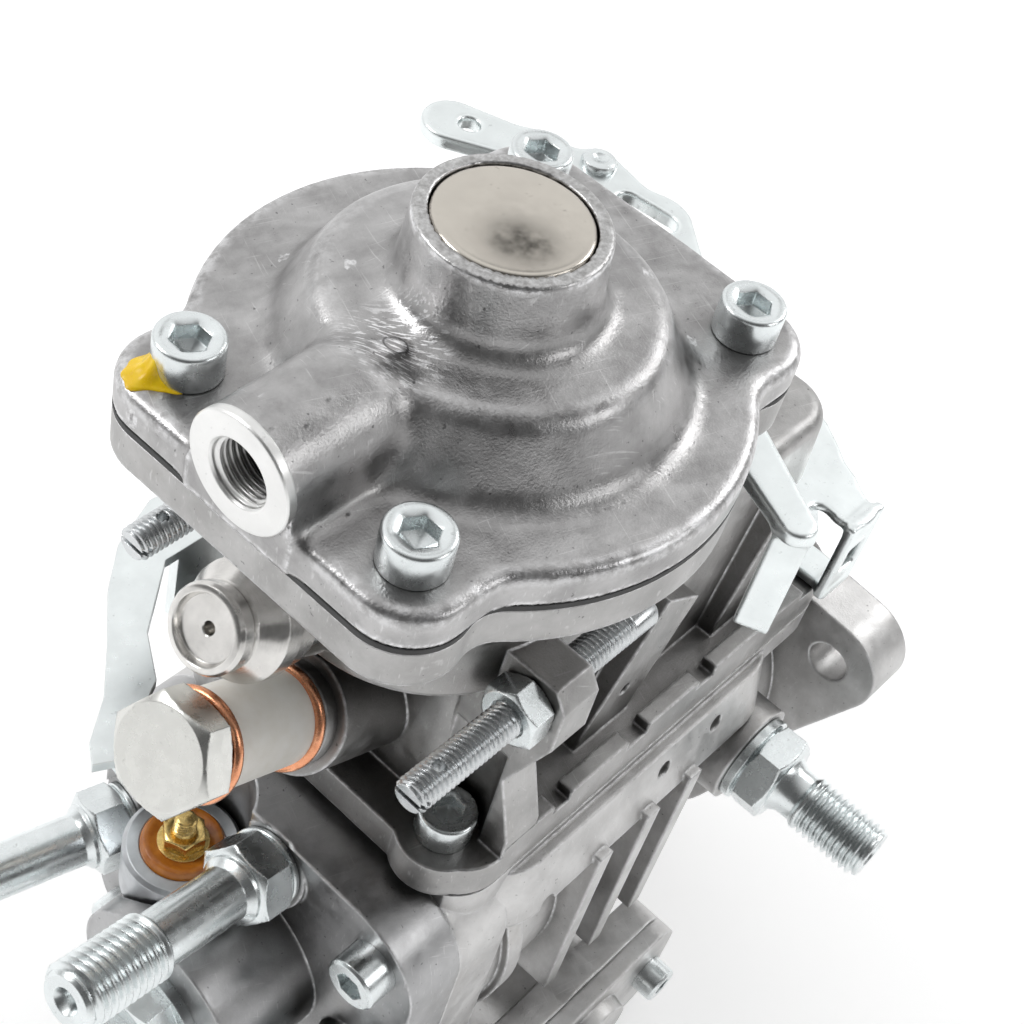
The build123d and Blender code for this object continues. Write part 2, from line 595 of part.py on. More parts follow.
with BuildPart() as pump_housing:
    # drive flange: a round plate drawn out to three slotted lobes
    for lobe in lobe_places:
        with BuildSketch(Plane.YZ.offset(-flange_thickness)):
            Circle(barrel_radius + 1)
            with Locations(lobe):
                Circle(11)
            make_hull()
        extrude(amount=flange_thickness)
    with BuildSketch(Plane.YZ):
        Circle(pilot_radius)
    extrude(amount=pilot_height)
    # barrel, widening to the square seat of the head
    with BuildSketch(Plane.YZ.offset(-flange_thickness)):
        Circle(barrel_radius - 3)
    extrude(amount=-36)
    with BuildSketch(Plane.YZ.offset(-46)):
        Circle(barrel_radius - 2)
    with BuildSketch(Plane.YZ.offset(housing_rear + 12)):
        Circle(barrel_radius)
    loft()
    with BuildSketch(Plane.YZ.offset(housing_rear)):
        RectangleRounded(2 * head_half_width, 2 * head_half_width, 15)
    extrude(amount=12)
    # walls rising to the cover seat
    with BuildSketch(Plane.XY):
        with Locations((cover_middle, 0)):
            RectangleRounded(cover_length - 6, 2 * housing_half_width, 8)
    extrude(amount=housing_top - 7)
    with BuildSketch(Plane.XY.offset(housing_top - 7)):
        with Locations((cover_middle, 0)):
            RectangleRounded(cover_length, 2 * cover_half_width, 10)
    extrude(amount=7)
    # transverse cylinder of the injection timer with its end flanges
    with BuildSketch(timing_axis.offset(-timing_length)):
        Circle(timing_radius + 4.5)
    extrude(amount=2 * timing_length)
    for side in (-1, 1):
        with BuildSketch(timing_axis.offset(side * timing_length)):
            RectangleRounded(56, 30, 7)
        extrude(amount=-side * 7)
    # stiffening ribs round the barrel and shoulders under the cover seat
    for rib_x in (-30, -54, -102):
        with BuildSketch(Plane.YZ.offset(rib_x)):
            Circle(barrel_radius + 1.5)
        extrude(amount=4)
    with BuildSketch(Plane.XY.offset(24)):
        with Locations((cover_middle - 4, 0)):
            RectangleRounded(cover_length - 22, 2 * shoulder_half_width, 14)
    extrude(amount=housing_top - 26, taper=11)
    for x in (-57, -70, -84):
        with BuildSketch(Plane.XY.offset(-22)):
            with Locations((x, 0)):
                Rectangle(3.5, 2 * shoulder_half_width + 3)
        extrude(amount=48)
    # boss of the fuel inlet on the right
    with BuildSketch(Plane.XZ):
        with Locations((-34, 12)):
            Circle(11)
    extrude(amount=42)
    for x in (-66, -50):
        for side in (-1, 1):
            with BuildSketch(Plane.XZ.offset(-side * 36.6)):
                with Locations((x, 33)):
                    Circle(1.8)
            extrude(amount=-side * 6, mode=Mode.SUBTRACT)
    # flat rear seat of the head
    with BuildSketch(Plane.YZ.offset(housing_rear)):
        Rectangle(200, 200)
    extrude(amount=-10, mode=Mode.SUBTRACT)
    # ---- hollow inside ----
    with BuildSketch(Plane.YZ.offset(-47)):
        Circle(cavity_radius)
    extrude(amount=-80, mode=Mode.SUBTRACT)
    with BuildSketch(Plane.YZ.offset(-32)):
        Circle(pump_recess_radius)
    extrude(amount=-20, mode=Mode.SUBTRACT)
    with BuildSketch(Plane.YZ.offset(10)):
        Circle(bush_outer_radius)
    extrude(amount=-50, mode=Mode.SUBTRACT)
    with BuildSketch(Plane.YZ.offset(pilot_height)):
        Circle(seal_outer_radius)
    extrude(amount=-8, mode=Mode.SUBTRACT)
    with BuildSketch(Plane.XY.offset(12)):
        with Locations((-79.5, 0)):
            RectangleRounded(65, 2 * cover_inner_y, 6)
    extrude(amount=40, mode=Mode.SUBTRACT)
    with BuildSketch(timing_axis.offset(-60)):
        Circle(timing_radius + fit)
    extrude(amount=120, mode=Mode.SUBTRACT)
    with BuildSketch(Plane.XY.offset(timing_z)):
        with Locations((timing_x, 0)):
            SlotOverall(22, 9, rotation=90)
    extrude(amount=20, mode=Mode.SUBTRACT)
    # standing lug that holds the governor pin
    with BuildSketch(Plane.YZ.offset(-46)):
        with Locations((0, 37)):
            Rectangle(18, 15)
        with Locations((0, governor_z)):
            Circle(9)
    extrude(amount=8)
    with BuildSketch(Plane.YZ.offset(-46)):
        with Locations((0, governor_z)):
            Circle(governor_pin_radius)
    extrude(amount=6, mode=Mode.SUBTRACT)
    with BuildSketch(Plane.XZ.offset(-40)):
        with Locations((lever_pin_x, lever_pin_z)):
            Circle(2.0)
    extrude(amount=80, mode=Mode.SUBTRACT)
    with BuildSketch(Plane.XZ.offset(20)):
        with Locations((-34, 12)):
            Circle(6)
    extrude(amount=30, mode=Mode.SUBTRACT)
    for lobe in lobe_places:
        with BuildSketch(Plane.YZ.offset(-flange_thickness)):
            with Locations(lobe):
                Circle(flange_hole_radius)
        extrude(amount=flange_thickness, mode=Mode.SUBTRACT)
    with BuildSketch(Plane.XY.offset(housing_top)):
        with Locations(*cover_screw_places):
            Circle(3.0)
    extrude(amount=-14, mode=Mode.SUBTRACT)
    with BuildSketch(Plane.YZ.offset(housing_rear)):
        with Locations(*[(y * head_screw_place, z * head_screw_place) for y in (-1, 1) for z in (-1, 1)]):
            Circle(3.0)
    extrude(amount=10, mode=Mode.SUBTRACT)
    for plane in timer_screw_planes:
        with BuildSketch(plane):
            Circle(2.5)
        extrude(amount=-12, mode=Mode.SUBTRACT)
save(pump_housing.part, "pump_housing")

# ---- timer covers ----
with BuildPart() as timer_covers:
    for side in (-1, 1):
        cover_plane = Plane(origin=(timing_x, side * timing_length, timing_z), x_dir=(1, 0, 0), z_dir=(0, side, 0))
        with BuildSketch(cover_plane):
            RectangleRounded(56, 30, 7)
        extrude(amount=4)
        with BuildSketch(cover_plane.offset(4)):
            Circle(11)
        extrude(amount=3, taper=12)
    for plane in timer_screw_planes:
        with BuildSketch(plane):
            Circle(2.5)
        extrude(amount=-4, mode=Mode.SUBTRACT)
save(timer_covers.part, "timer_covers")
save(socket_screws(timer_screw_planes, 4.2, 5.0, 4.0, 2.5, 11), "timer_screws")

# ================= drive shaft and feed pump =================
shaft_outline = [(0, -66), (5, -66), (5, -59.5), (shaft_radius, -59.5), (shaft_radius, 8), (8.6, 30), (6.0, 30),
                 (6.0, 45), (5.2, 46), (0, 46)]
shaft_line = facing((0, 0, 0), (1, 0, 0))
key_center = (19, 9.6)
with BuildPart() as drive_shaft:
    add(turned(shaft_outline, shaft_line))
    with BuildSketch(Plane.YZ.offset(-60)):
        Rectangle(2 * shaft_radius + 14, 8)
    extrude(amount=-6)
    with BuildSketch(Plane.XZ.offset(-1.5)):
        with Locations(key_center):
            Circle(4.5)
    extrude(amount=3, mode=Mode.SUBTRACT)
save(drive_shaft.part, "drive_shaft")
with BuildPart() as woodruff_key:
    with BuildSketch(Plane.XZ.offset(-1.5)):
        with Locations(key_center):
            Circle(4.5)
    extrude(amount=3)
    with BuildSketch(Plane.YZ.offset(10)):
        with Locations((0, 15.9)):
            Rectangle(10, 8)
    extrude(amount=20, mode=Mode.SUBTRACT)
save(woodruff_key.part, "woodruff_key")
with BuildPart() as shaft_nut:
    add(hex_piece(facing((32.4, 0, 0), (1, 0, 0)), 19.0, 10.0, bore=6.0))
    with BuildSketch(Plane.YZ.offset(30.4)):
        Circle(11.5)
        Circle(6.0, mode=Mode.SUBTRACT)
    extrude(amount=2)
save(shaft_nut.part, "shaft_nut")
bush = [(shaft_radius + fit, -31), (bush_outer_radius, -31), (bush_outer_radius, -3), (shaft_radius + fit, -3)]
save(turned(bush, shaft_line), "drive_bush")
seal = [(shaft_radius + 0.2, -1.8), (shaft_radius + 3, -1.8), (seal_outer_radius - 2, 1), (seal_outer_radius, 1),
        (seal_outer_radius, 6), (shaft_radius + 3, 6), (shaft_radius + 0.2, 4)]
save(turned(seal, shaft_line), "shaft_seal")

with BuildPart() as feed_pump_ring:
    with BuildSketch(Plane.YZ.offset(-43)):
        Circle(pump_recess_radius)
        with Locations((0, 1.6)):
            Circle(21.5, mode=Mode.SUBTRACT)
    extrude(amount=10)
save(feed_pump_ring.part, "feed_pump_ring")
with BuildPart() as feed_pump_rotor:
    with BuildSketch(Plane.YZ.offset(-42.9)):
        Circle(18.6)
        Circle(shaft_radius, mode=Mode.SUBTRACT)
        with PolarLocations(15.1, 4):
            Rectangle(8, 2.1, mode=Mode.SUBTRACT)
    extrude(amount=9.8)
save(feed_pump_rotor.part, "feed_pump_rotor")
with BuildPart() as feed_pump_vanes:
    with BuildSketch(Plane.YZ.offset(-42.9)):
        with PolarLocations(15.4, 4):
            Rectangle(8.4, 2.1)
    extrude(amount=9.8)
save(feed_pump_vanes.part, "feed_pump_vanes")
with BuildPart() as feed_pump_plate:
    with BuildSketch(Plane.YZ.offset(-46.4)):
        Circle(pump_recess_radius)
        Circle(12, mode=Mode.SUBTRACT)
        with PolarLocations(19, 2):
            SlotOverall(16, 4, rotation=90, mode=Mode.SUBTRACT)
    extrude(amount=3.2)
save(feed_pump_plate.part, "feed_pump_plate")

# ================= governor =================
gear_plane = Plane(origin=(gear_rear, 0, 0), x_dir=(0, 1, 0), z_dir=(1, 0, 0))
cage_plane = Plane(origin=(gear_rear, 0, governor_z), x_dir=(0, 1, 0), z_dir=(1, 0, 0))
save(toothed_disc(gear_plane, drive_gear_teeth, gear_width, shaft_radius, 90), "governor_drive_gear")
with BuildPart() as flyweight_cage:
    add(toothed_disc(cage_plane, cage_gear_teeth, gear_width, governor_pin_radius + fit, 90 + 180 / cage_gear_teeth))
    with BuildSketch(cage_plane):
        Circle(12.6)
        Circle(10.8, mode=Mode.SUBTRACT)
    extrude(amount=-13)
    with BuildSketch(cage_plane.offset(-13)):
        with PolarLocations(11, 4, start_angle=45):
            Rectangle(8, 7)
    extrude(amount=11, mode=Mode.SUBTRACT)
save(flyweight_cage.part, "flyweight_cage")
with BuildPart() as flyweights:
    with BuildSketch(cage_plane.offset(-2.2)):
        with PolarLocations(8.4, 4, start_angle=45):
            RectangleRounded(7.4, 6.2, 1.2)
    extrude(amount=-7.8)
    with BuildSketch(cage_plane.offset(-10)):
        with PolarLocations(6.8, 4, start_angle=45):
            RectangleRounded(4.2, 3.6, 0.8)
    extrude(amount=-3)
save(flyweights.part, "flyweights")
sleeve_outline = [(governor_pin_radius + fit, -38.4), (5.5, -38.4), (7.0, -36), (7.0, -22), (5.2, -22), (5.2, -14),
                  (governor_pin_radius + fit, -14)]
save(turned(sleeve_outline, cage_plane), "governor_sleeve")
with BuildPart() as governor_pins:
    with BuildSketch(Plane.YZ.offset(-100)):
        with Locations((0, governor_z)):
            Circle(governor_pin_radius)
    extrude(amount=60)
    with BuildSketch(Plane.XZ.offset(-31)):
        with Locations((lever_pin_x, lever_pin_z)):
            Circle(2.0)
    extrude(amount=62)
save(governor_pins.part, "governor_pins")

spool_arm_x = -101.0
with BuildPart() as governor_lever:
    with BuildSketch(Plane.YZ.offset(-94)):
        with BuildLine():
            Polyline((-4, 10.5), (4, 10.5), (10, 19), (10, 30), (8.5, 36), (8.5, 51), (4, 60), (4, 69), (-4, 69),
                     (-4, 60), (-8.5, 51), (-8.5, 36), (-10, 30), (-10, 19), close=True)
        make_face()
        with Locations((0, governor_z)):
            SlotOverall(16, 9, rotation=90, mode=Mode.SUBTRACT)
        with Locations((0, 65)):
            Circle(1.2, mode=Mode.SUBTRACT)
    extrude(amount=-2.4)
    for ear_y_start in (10, -7):
        with BuildSketch(Plane.XZ.offset(-ear_y_start)):
            with Locations((lever_pin_x - 0.6, lever_pin_z)):
                Rectangle(8, 8)
        extrude(amount=3)
    with BuildSketch(Plane.XZ.offset(-12)):
        with Locations((lever_pin_x, lever_pin_z)):
            Circle(2.0 + fit)
    extrude(amount=24, mode=Mode.SUBTRACT)
    with BuildSketch(Plane.YZ.offset(-96.3)):
        with Locations((0, 13)):
            Circle(1.6)
    extrude(amount=-4.7)
    with BuildSketch(Plane.XY.offset(7.4)):
        with Locations((spool_arm_x, 0)):
            Circle(1.6)
    extrude(amount=7.2)
save(governor_lever.part, "governor_lever")
hook_line = facing((-97.5, 0, 65), (1, 0, 0))
with BuildPart() as governor_spring:
    add(coil_spring(hook_line.offset(5), 2.8, 0.5, 32, 9))
    with BuildSketch(hook_line):
        Circle(0.7)
    extrude(amount=40.2)
    for distance in (5, 36):
        with BuildSketch(hook_line.offset(distance)):
            Circle(3.3)
        extrude(amount=1)
save(governor_spring.part, "governor_spring")

# ================= cam drive, plunger and timer =================
claw_span = 2 * shaft_radius + 14
with BuildPart() as drive_coupling:
    with BuildSketch(Plane.YZ.offset(-66)):
        Circle(18.5)
        Rectangle(claw_span + 0.4, 8.4, mode=Mode.SUBTRACT)
        Rectangle(8.4, claw_span + 0.4, mode=Mode.SUBTRACT)
        Circle(6, mode=Mode.SUBTRACT)
    extrude(amount=5.8)
save(drive_coupling.part, "drive_coupling")
with BuildPart() as roller_ring:
    with BuildSketch(Plane.YZ.offset(-82)):
        Circle(29.8)
        Circle(20, mode=Mode.SUBTRACT)
    extrude(amount=14)
    with BuildSketch(Plane.YZ.offset(-82)):
        with PolarLocations(25, roller_count, start_angle=45):
            Rectangle(7.2, 10.4)
    extrude(amount=8, mode=Mode.SUBTRACT)
    with BuildSketch(Plane.XY.offset(timing_z - 3)):
        with Locations((timing_x, 0)):
            Circle(2.5)
    extrude(amount=18)
save(roller_ring.part, "roller_ring")
roller_outline = [(0, 0), (4.4, 0), (4.9, 0.5), (4.9, 6.1), (4.4, 6.6), (0, 6.6)]
with BuildPart() as cam_rollers:
    for index in range(roller_count):
        angle = math.radians(45 + 360 / roller_count * index)
        radial = (0, math.cos(angle), math.sin(angle))
        start = (-80, 21.7 * math.cos(angle), 21.7 * math.sin(angle))
        add(turned(roller_outline, Plane(origin=start, x_dir=(1, 0, 0), z_dir=radial)))
save(cam_rollers.part, "cam_rollers")

with BuildPart() as cam_plate:
    with BuildSketch(Plane.YZ.offset(-90)):
        Circle(28.5)
    extrude(amount=2.8)
    with BuildSketch(Plane.YZ.offset(-87.2)):
        Circle(28)
        Circle(19.5, mode=Mode.SUBTRACT)
        with PolarLocations(23.5, roller_count, start_angle=0):
            Rectangle(12, 16, mode=Mode.SUBTRACT)
    extrude(amount=2, taper=20)
    with BuildSketch(Plane.YZ.offset(-88)):
        Circle(11)
    extrude(amount=20.5)
    with BuildSketch(Plane.YZ.offset(-68)):
        Rectangle(8, claw_span)
        Circle(6, mode=Mode.SUBTRACT)
    extrude(amount=7.8)
save(cam_plate.part, "cam_plate")
plunger_outline = [(0, -144), (plunger_radius, -144), (plunger_radius, -92.4), (9.5, -92.4), (9.5, -91), (plunger_radius, -90.2),
                   (plunger_radius, -90), (0, -90)]
with BuildPart() as distributor_plunger:
    add(turned(plunger_outline, shaft_line))
    with BuildSketch(Plane.XY.offset(3.6)):
        with Locations((-138, 0)):
            Rectangle(9, 2.2)
    extrude(amount=2, mode=Mode.SUBTRACT)
save(distributor_plunger.part, "distributor_plunger")
spool_outline = [(plunger_radius + fit, -106), (9.2, -106), (9.2, -103.2), (7.0, -103.2), (7.0, -98.8), (9.2, -98.8),
                 (9.2, -96.6), (plunger_radius + fit, -96.6)]
save(turned(spool_outline, shaft_line), "control_spool")
with BuildPart() as spring_seat:
    with BuildSketch(Plane.YZ.offset(-94.2)):
        SlotOverall(50, 12)
        Circle(plunger_radius + 0.3, mode=Mode.SUBTRACT)
    extrude(amount=1.6)
save(spring_seat.part, "plunger_spring_seat")
with BuildPart() as plunger_springs:
    for side in (-1, 1):
        add(coil_spring(facing((-112, side * 19, 0), (1, 0, 0)), 4.2, 0.8, 17.8, 5))
save(plunger_springs.part, "plunger_springs")

with BuildPart() as timer_piston:
    with BuildSketch(timing_axis.offset(-22)):
        Circle(timing_radius)
    extrude(amount=44)
    with BuildSketch(timing_axis.offset(12)):
        Circle(8.5)
    extrude(amount=10, mode=Mode.SUBTRACT)
    with BuildSketch(Plane.XY.offset(timing_z - 4)):
        with Locations((timing_x, 0)):
            Circle(3.9)
    extrude(amount=20, mode=Mode.SUBTRACT)
save(timer_piston.part, "timer_piston")
save(coil_spring(timing_axis.offset(12), 6.6, 1.0, timing_length - 12, 6), "timer_spring")

# ================= distributor head =================
def outlet_direction(turn):
    """Direction of an outlet: rearwards, splayed outwards at its place round the head."""
    splay = math.radians(outlet_splay)
    return (-math.cos(splay), math.sin(splay) * math.cos(turn), math.sin(splay) * math.sin(turn))


outlet_planes = []
for index in range(4):
    turn = math.radians(90 + outlet_turn + 90 * index)
    base = (head_flange_rear, outlet_base_radius * math.cos(turn), outlet_base_radius * math.sin(turn))
    outlet_planes.append(Plane(origin=base, x_dir=(0, math.sin(turn), -math.cos(turn)), z_dir=outlet_direction(turn)))
head_screw_places = [(y * head_screw_place, z * head_screw_place) for y in (-1, 1) for z in (-1, 1)]
solenoid_plane = Plane(origin=(solenoid_place[0], solenoid_place[1], solenoid_seat))

with BuildPart() as distributor_head:
    with BuildSketch(Plane.YZ.offset(housing_rear)):
        RectangleRounded(2 * head_half_width, 2 * head_half_width, 15)
    extrude(amount=head_flange_rear - housing_rear)
    with BuildSketch(Plane.YZ.offset(housing_rear)):
        Circle(cavity_radius - 0.05)
    extrude(amount=4)
    with BuildSketch(Plane.YZ.offset(housing_rear)):
        Circle(25)
    extrude(amount=8)
    with BuildSketch(Plane.YZ.offset(head_flange_rear)):
        Circle(head_barrel_radius)
    extrude(amount=head_barrel_rear - head_flange_rear)
    for plane in outlet_planes:
        with BuildSketch(plane.offset(-9)):
            Circle(8.2)
        extrude(amount=9 + 1.5)
    for plane in outlet_planes:
        with BuildSketch(plane.offset(1.5)):
            Circle(8.4)
        extrude(amount=10, mode=Mode.SUBTRACT)
    with BuildSketch(Plane.YZ.offset(housing_rear + 20)):
        Circle(plunger_radius + 0.03)
    extrude(amount=-50, mode=Mode.SUBTRACT)
    with BuildSketch(Plane.YZ.offset(head_barrel_rear)):
        Circle(7)
    extrude(amount=6, mode=Mode.SUBTRACT)
    for plane in outlet_planes:
        with BuildSketch(plane.offset(-7)):
            Circle(6.0)
        extrude(amount=20, mode=Mode.SUBTRACT)
    with BuildSketch(solenoid_plane):
        Circle(solenoid_radius + 0.6)
    extrude(amount=30, mode=Mode.SUBTRACT)
    with BuildSketch(solenoid_plane):
        Circle(3.5)
    extrude(amount=-7, mode=Mode.SUBTRACT)
    with BuildSketch(Plane.YZ.offset(head_flange_rear)):
        with Locations(*head_screw_places):
            Circle(3.3)
    extrude(amount=20, mode=Mode.SUBTRACT)
save(distributor_head.part, "distributor_head")
head_screw_planes = [facing((head_flange_rear, y, z), (-1, 0, 0)) for y, z in head_screw_places]
save(socket_screws(head_screw_planes, m6_head_radius, m6_head_height, m6_socket, 3.0, 20), "head_screws")

holder_outline = [(0, -7), (6.0, -7), (6.0, 1.5), (7.4, 1.5), (7.4, 2.6), (6.6, 2.6), (6.6, 9.8), (6.9, 10.6),
                  (5.0, 11.6), (5.0, 29), (6.0, 30), (6.0, 46.2), (5.2, 47), (2.4, 47), (1.2, 44.5), (1.2, -2), (0, -2)]
with BuildPart() as delivery_valve_holders:
    for plane in outlet_planes:
        add(turned(holder_outline, plane))
        add(hex_piece(plane.offset(2.6), 14.0, 7.2))
    for plane in outlet_planes:
        with BuildSketch(plane.offset(-1)):
            Circle(1.2)
        extrude(amount=60, mode=Mode.SUBTRACT)
save(delivery_valve_holders.part, "delivery_valve_holders")

with BuildPart() as centre_plug:
    with BuildSketch(facing((head_barrel_rear + 6, 0, 0), (-1, 0, 0))):
        Circle(7)
    extrude(amount=6)
    add(turned([(0, 0), (11, 0), (11, 2), (0, 2)], facing((head_barrel_rear, 0, 0), (-1, 0, 0))))
    add(hex_piece(facing((head_barrel_rear - 2, 0, 0), (-1, 0, 0)), 17.0, 6.0))
    add(hex_piece(facing((head_barrel_rear - 8, 0, 0), (-1, 0, 0)), 8.0, 4.0))
save(centre_plug.part, "centre_plug")

# ---- shut-off solenoid ----
can_height = solenoid_top - solenoid_seat
with BuildPart() as solenoid_body:
    add(turned([(0, 0), (solenoid_radius, 0), (solenoid_radius, can_height - 0.8), (solenoid_radius - 0.8, can_height),
                (0, can_height)], solenoid_plane))
    with BuildSketch(solenoid_plane):
        Circle(3.5)
    extrude(amount=-3)
    with BuildSketch(solenoid_plane.offset(can_height)):
        Circle(7.6)
    extrude(amount=-2, mode=Mode.SUBTRACT)
    with BuildSketch(solenoid_plane.offset(6)):
        Circle(2.5 + fit)
    extrude(amount=-10, mode=Mode.SUBTRACT)
save(solenoid_body.part, "solenoid_body")
with BuildPart() as solenoid_armature:
    with BuildSketch(solenoid_plane.offset(4)):
        Circle(2.5)
    extrude(amount=-9)
save(solenoid_armature.part, "solenoid_armature")
with BuildPart() as solenoid_insulator:
    with BuildSketch(solenoid_plane.offset(can_height - 2)):
        Circle(7.6)
    extrude(amount=3.4)
save(solenoid_insulator.part, "solenoid_insulator")
with BuildPart() as solenoid_terminal:
    with BuildSketch(solenoid_plane.offset(can_height + 1.4)):
        Circle(2.0)
    extrude(amount=7)
    add(hex_piece(solenoid_plane.offset(can_height + 1.4), 7.0, 3.2))
save(solenoid_terminal.part, "solenoid_terminal")

# ---- fuel inlet ----
inlet_plane = facing((-34, -42, 12), (0, -1, 0), (1, 0, 0))
inlet_outline = [(2.6, -14), (6.0, -14), (6.0, 0), (9.5, 0), (9.5, 2), (5.2, 11), (5.2, 14), (6.0, 15), (6.0, 30),
                 (5.3, 31), (2.6, 31)]
with BuildPart() as inlet_union:
    add(turned(inlet_outline, inlet_plane))
    add(hex_piece(inlet_plane.offset(2), 17.0, 7.0, bore=2.7))
save(inlet_union.part, "inlet_union")

# ---- rear bracket held by the rear left cover screw ----
rear_plate = [(-109, 36.5), (-109, 45), (-112.5, 48.0), (-117.4, 48.2), (-128, 43.8), (-135.4, 37.5), (-142, 29.7),
              (-149.5, 21.5), (-156.5, 16.4), (-158.8, 13.0), (-155.3, 11.3), (-147.5, 15.5), (-141, 19), (-136, 27), (-124, 36.5)]
with BuildPart() as rear_bracket:
    with BuildSketch(Plane.XY.offset(66 - bracket_thickness)):
        Polygon(*rear_plate, align=None)
    extrude(amount=bracket_thickness)
    with BuildSketch(Plane.XY.offset(cover_flange_top)):
        with Locations((-115.5, 37.5)):
            Rectangle(11, bracket_thickness)
    extrude(amount=66 - cover_flange_top)
    with BuildSketch(Plane.XY.offset(cover_flange_top)):
        with Locations((-117, 31)):
            Rectangle(8, 13)
        with Locations(rear_bracket_screw):
            Circle(6.0)
    extrude(amount=bracket_thickness)
    with BuildSketch(Plane.XY.offset(cover_flange_top)):
        with Locations(rear_bracket_screw):
            Circle(3.3)
        with Locations((-120, 42)):
            Circle(2.2)
    extrude(amount=20, mode=Mode.SUBTRACT)
save(rear_bracket.part, "rear_bracket")

# ---- cable bracket held by the front right cover screw ----
bracket_top = [((-8, -12), 7.0, (-10, -30), 6.0), ((-10, -30), 6.0, (-24, -32), 5.0)]
with BuildPart() as cable_bracket:
    for start, start_radius, end, end_radius in bracket_top:
        with BuildSketch(Plane.XY.offset(bracket_height - bracket_thickness)):
            with Locations(start):
                Circle(start_radius)
            with Locations(end):
                Circle(end_radius)
            make_hull()
        extrude(amount=bracket_thickness)
    with BuildSketch(Plane.XY.offset(cover_flange_top)):
        with Locations((-17.2, -36.2)):
            Rectangle(11, bracket_thickness)
    extrude(amount=bracket_height - cover_flange_top)
    with BuildSketch(Plane.XY.offset(cover_flange_top)):
        with Locations((-17.4, -30.5)):
            Rectangle(8, 13)
        with Locations(bracket_screw):
            Circle(6.0)
            Circle(3.3, mode=Mode.SUBTRACT)
    extrude(amount=bracket_thickness)
    with BuildSketch(Plane.XY.offset(cover_flange_top)):
        with Locations(bracket_screw):
            Circle(3.3)
    extrude(amount=bracket_thickness, mode=Mode.SUBTRACT)
    with BuildSketch(Plane.XY.offset(bracket_height - bracket_thickness)):
        with Locations((-8, -12)):
            Circle(2.0)
        with Locations((-12, -28)):
            Rectangle(5.5, 5.5)
    extrude(amount=bracket_thickness, mode=Mode.SUBTRACT)
save(cable_bracket.part, "cable_bracket")
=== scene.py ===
import json
import math
import bmesh
import bpy
import numpy as np
from mathutils import Matrix, Vector


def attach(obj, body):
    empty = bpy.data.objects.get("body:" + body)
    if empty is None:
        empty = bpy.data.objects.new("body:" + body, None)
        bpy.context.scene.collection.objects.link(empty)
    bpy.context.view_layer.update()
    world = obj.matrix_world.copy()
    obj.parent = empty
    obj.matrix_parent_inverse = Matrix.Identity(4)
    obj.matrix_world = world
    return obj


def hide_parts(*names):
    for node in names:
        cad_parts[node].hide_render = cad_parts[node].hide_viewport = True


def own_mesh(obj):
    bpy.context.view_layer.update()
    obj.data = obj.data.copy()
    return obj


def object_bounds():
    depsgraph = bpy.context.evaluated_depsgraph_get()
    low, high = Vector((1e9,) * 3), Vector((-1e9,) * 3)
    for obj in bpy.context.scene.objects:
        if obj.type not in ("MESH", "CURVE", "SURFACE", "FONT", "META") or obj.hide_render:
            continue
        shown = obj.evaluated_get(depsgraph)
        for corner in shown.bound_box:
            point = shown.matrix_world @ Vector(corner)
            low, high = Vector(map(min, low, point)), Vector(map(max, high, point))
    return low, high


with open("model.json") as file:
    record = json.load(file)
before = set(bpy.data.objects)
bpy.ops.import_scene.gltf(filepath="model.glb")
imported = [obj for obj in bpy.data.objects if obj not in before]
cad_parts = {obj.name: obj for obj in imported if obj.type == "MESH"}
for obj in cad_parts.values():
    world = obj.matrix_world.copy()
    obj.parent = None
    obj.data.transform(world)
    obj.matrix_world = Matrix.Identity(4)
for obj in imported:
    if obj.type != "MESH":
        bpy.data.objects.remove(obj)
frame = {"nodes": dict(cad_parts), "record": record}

CAD_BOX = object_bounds()
MM = 0.001

# ---- places of the pump's own fittings, in millimetres ----
CAP_X, CAP_TOP = -104.0, 132.0
EAR_X, EAR_Y, EAR_RADIUS = 35.4, 21.0, 9.4
FLANGE_RADIUS, CAP_FLANGE = 41.0, 6.0
TOWER_HEIGHT, TOWER_BORE = 23.7, 11.5
PORT_RADIUS, PORT_HEIGHT, PORT_FACE, PORT_END = 8.86, 4.8, -46.3, -28.0
MARK = (-20.1, -0.2, 1.7)
TILT = math.radians(26.5)
FITTING = (-math.cos(TILT), 0.0, math.sin(TILT))
RETURN_FACE = np.array((-159.0, 0.0, 83.0))
RETURN_HEXAGON, RETURN_WASHERS, WASHER_RADIUS, SLEEVE_RADIUS = 17.0, (9.2, 29.2), 9.0, 7.9
TAMPER_FACE = np.array((-147.7, 4.7, 98.6))
STOP_SCREW_Y, STOP_SCREW_Z, STOP_SCREW_REAR, STOP_SCREW_TIP = 29.5, 87.0, -138.6, -84.0
LUG_FACE = -112.5
OUTLET_X, OUTLET_RADIUS, OUTLET_SPLAY, OUTLET_TURN = -132.0, 30.0, math.radians(14), 7
SOLENOID = np.array((-137.0, 12.5, 21.0))
INLET = np.array((-34.0, -42.0, 12.0))
COVER_SCREWS = [(-115.5, -24, 48), (-115.5, 24, 50), (-19.7, -24, 50), (-19.7, 24, 48)]
LEVER_PIVOT, LEVER_CABLE_HOLE, LEVER_RIVET = (-48.0, 0.0), (-38.5, 56.5), (-26.9, 35.0, 0)
LEVER_LOW, LEVER_HIGH = 104.0, 107.0
LEVER_TABS = [(-82.8, 29.5), (-67.79, -41.11)]
BRACKET_TOP, BRACKET_FOOT = (66, 68), (48, 50)
BRACKET_HOLE, BRACKET_SCREW = (-8, -12), (-19.7, -24)
# solid, joint, axis, fixed end in metres, and how far the joint presses it
PRESSED_SPRINGS = [("compensator_spring", "boost_pin_slide", (0, 0, 1), (CAP_X * MM, 0, 0.098), 5.1),
                   ("timer_spring", "timer_slide", (0, 1, 0), (-0.076, 0.045, 0), 4.1)]
CAP_SCREWS = [(CAP_X + x, y, CAP_TOP) for x in (-EAR_X, EAR_X) for y in (-EAR_Y, EAR_Y)]


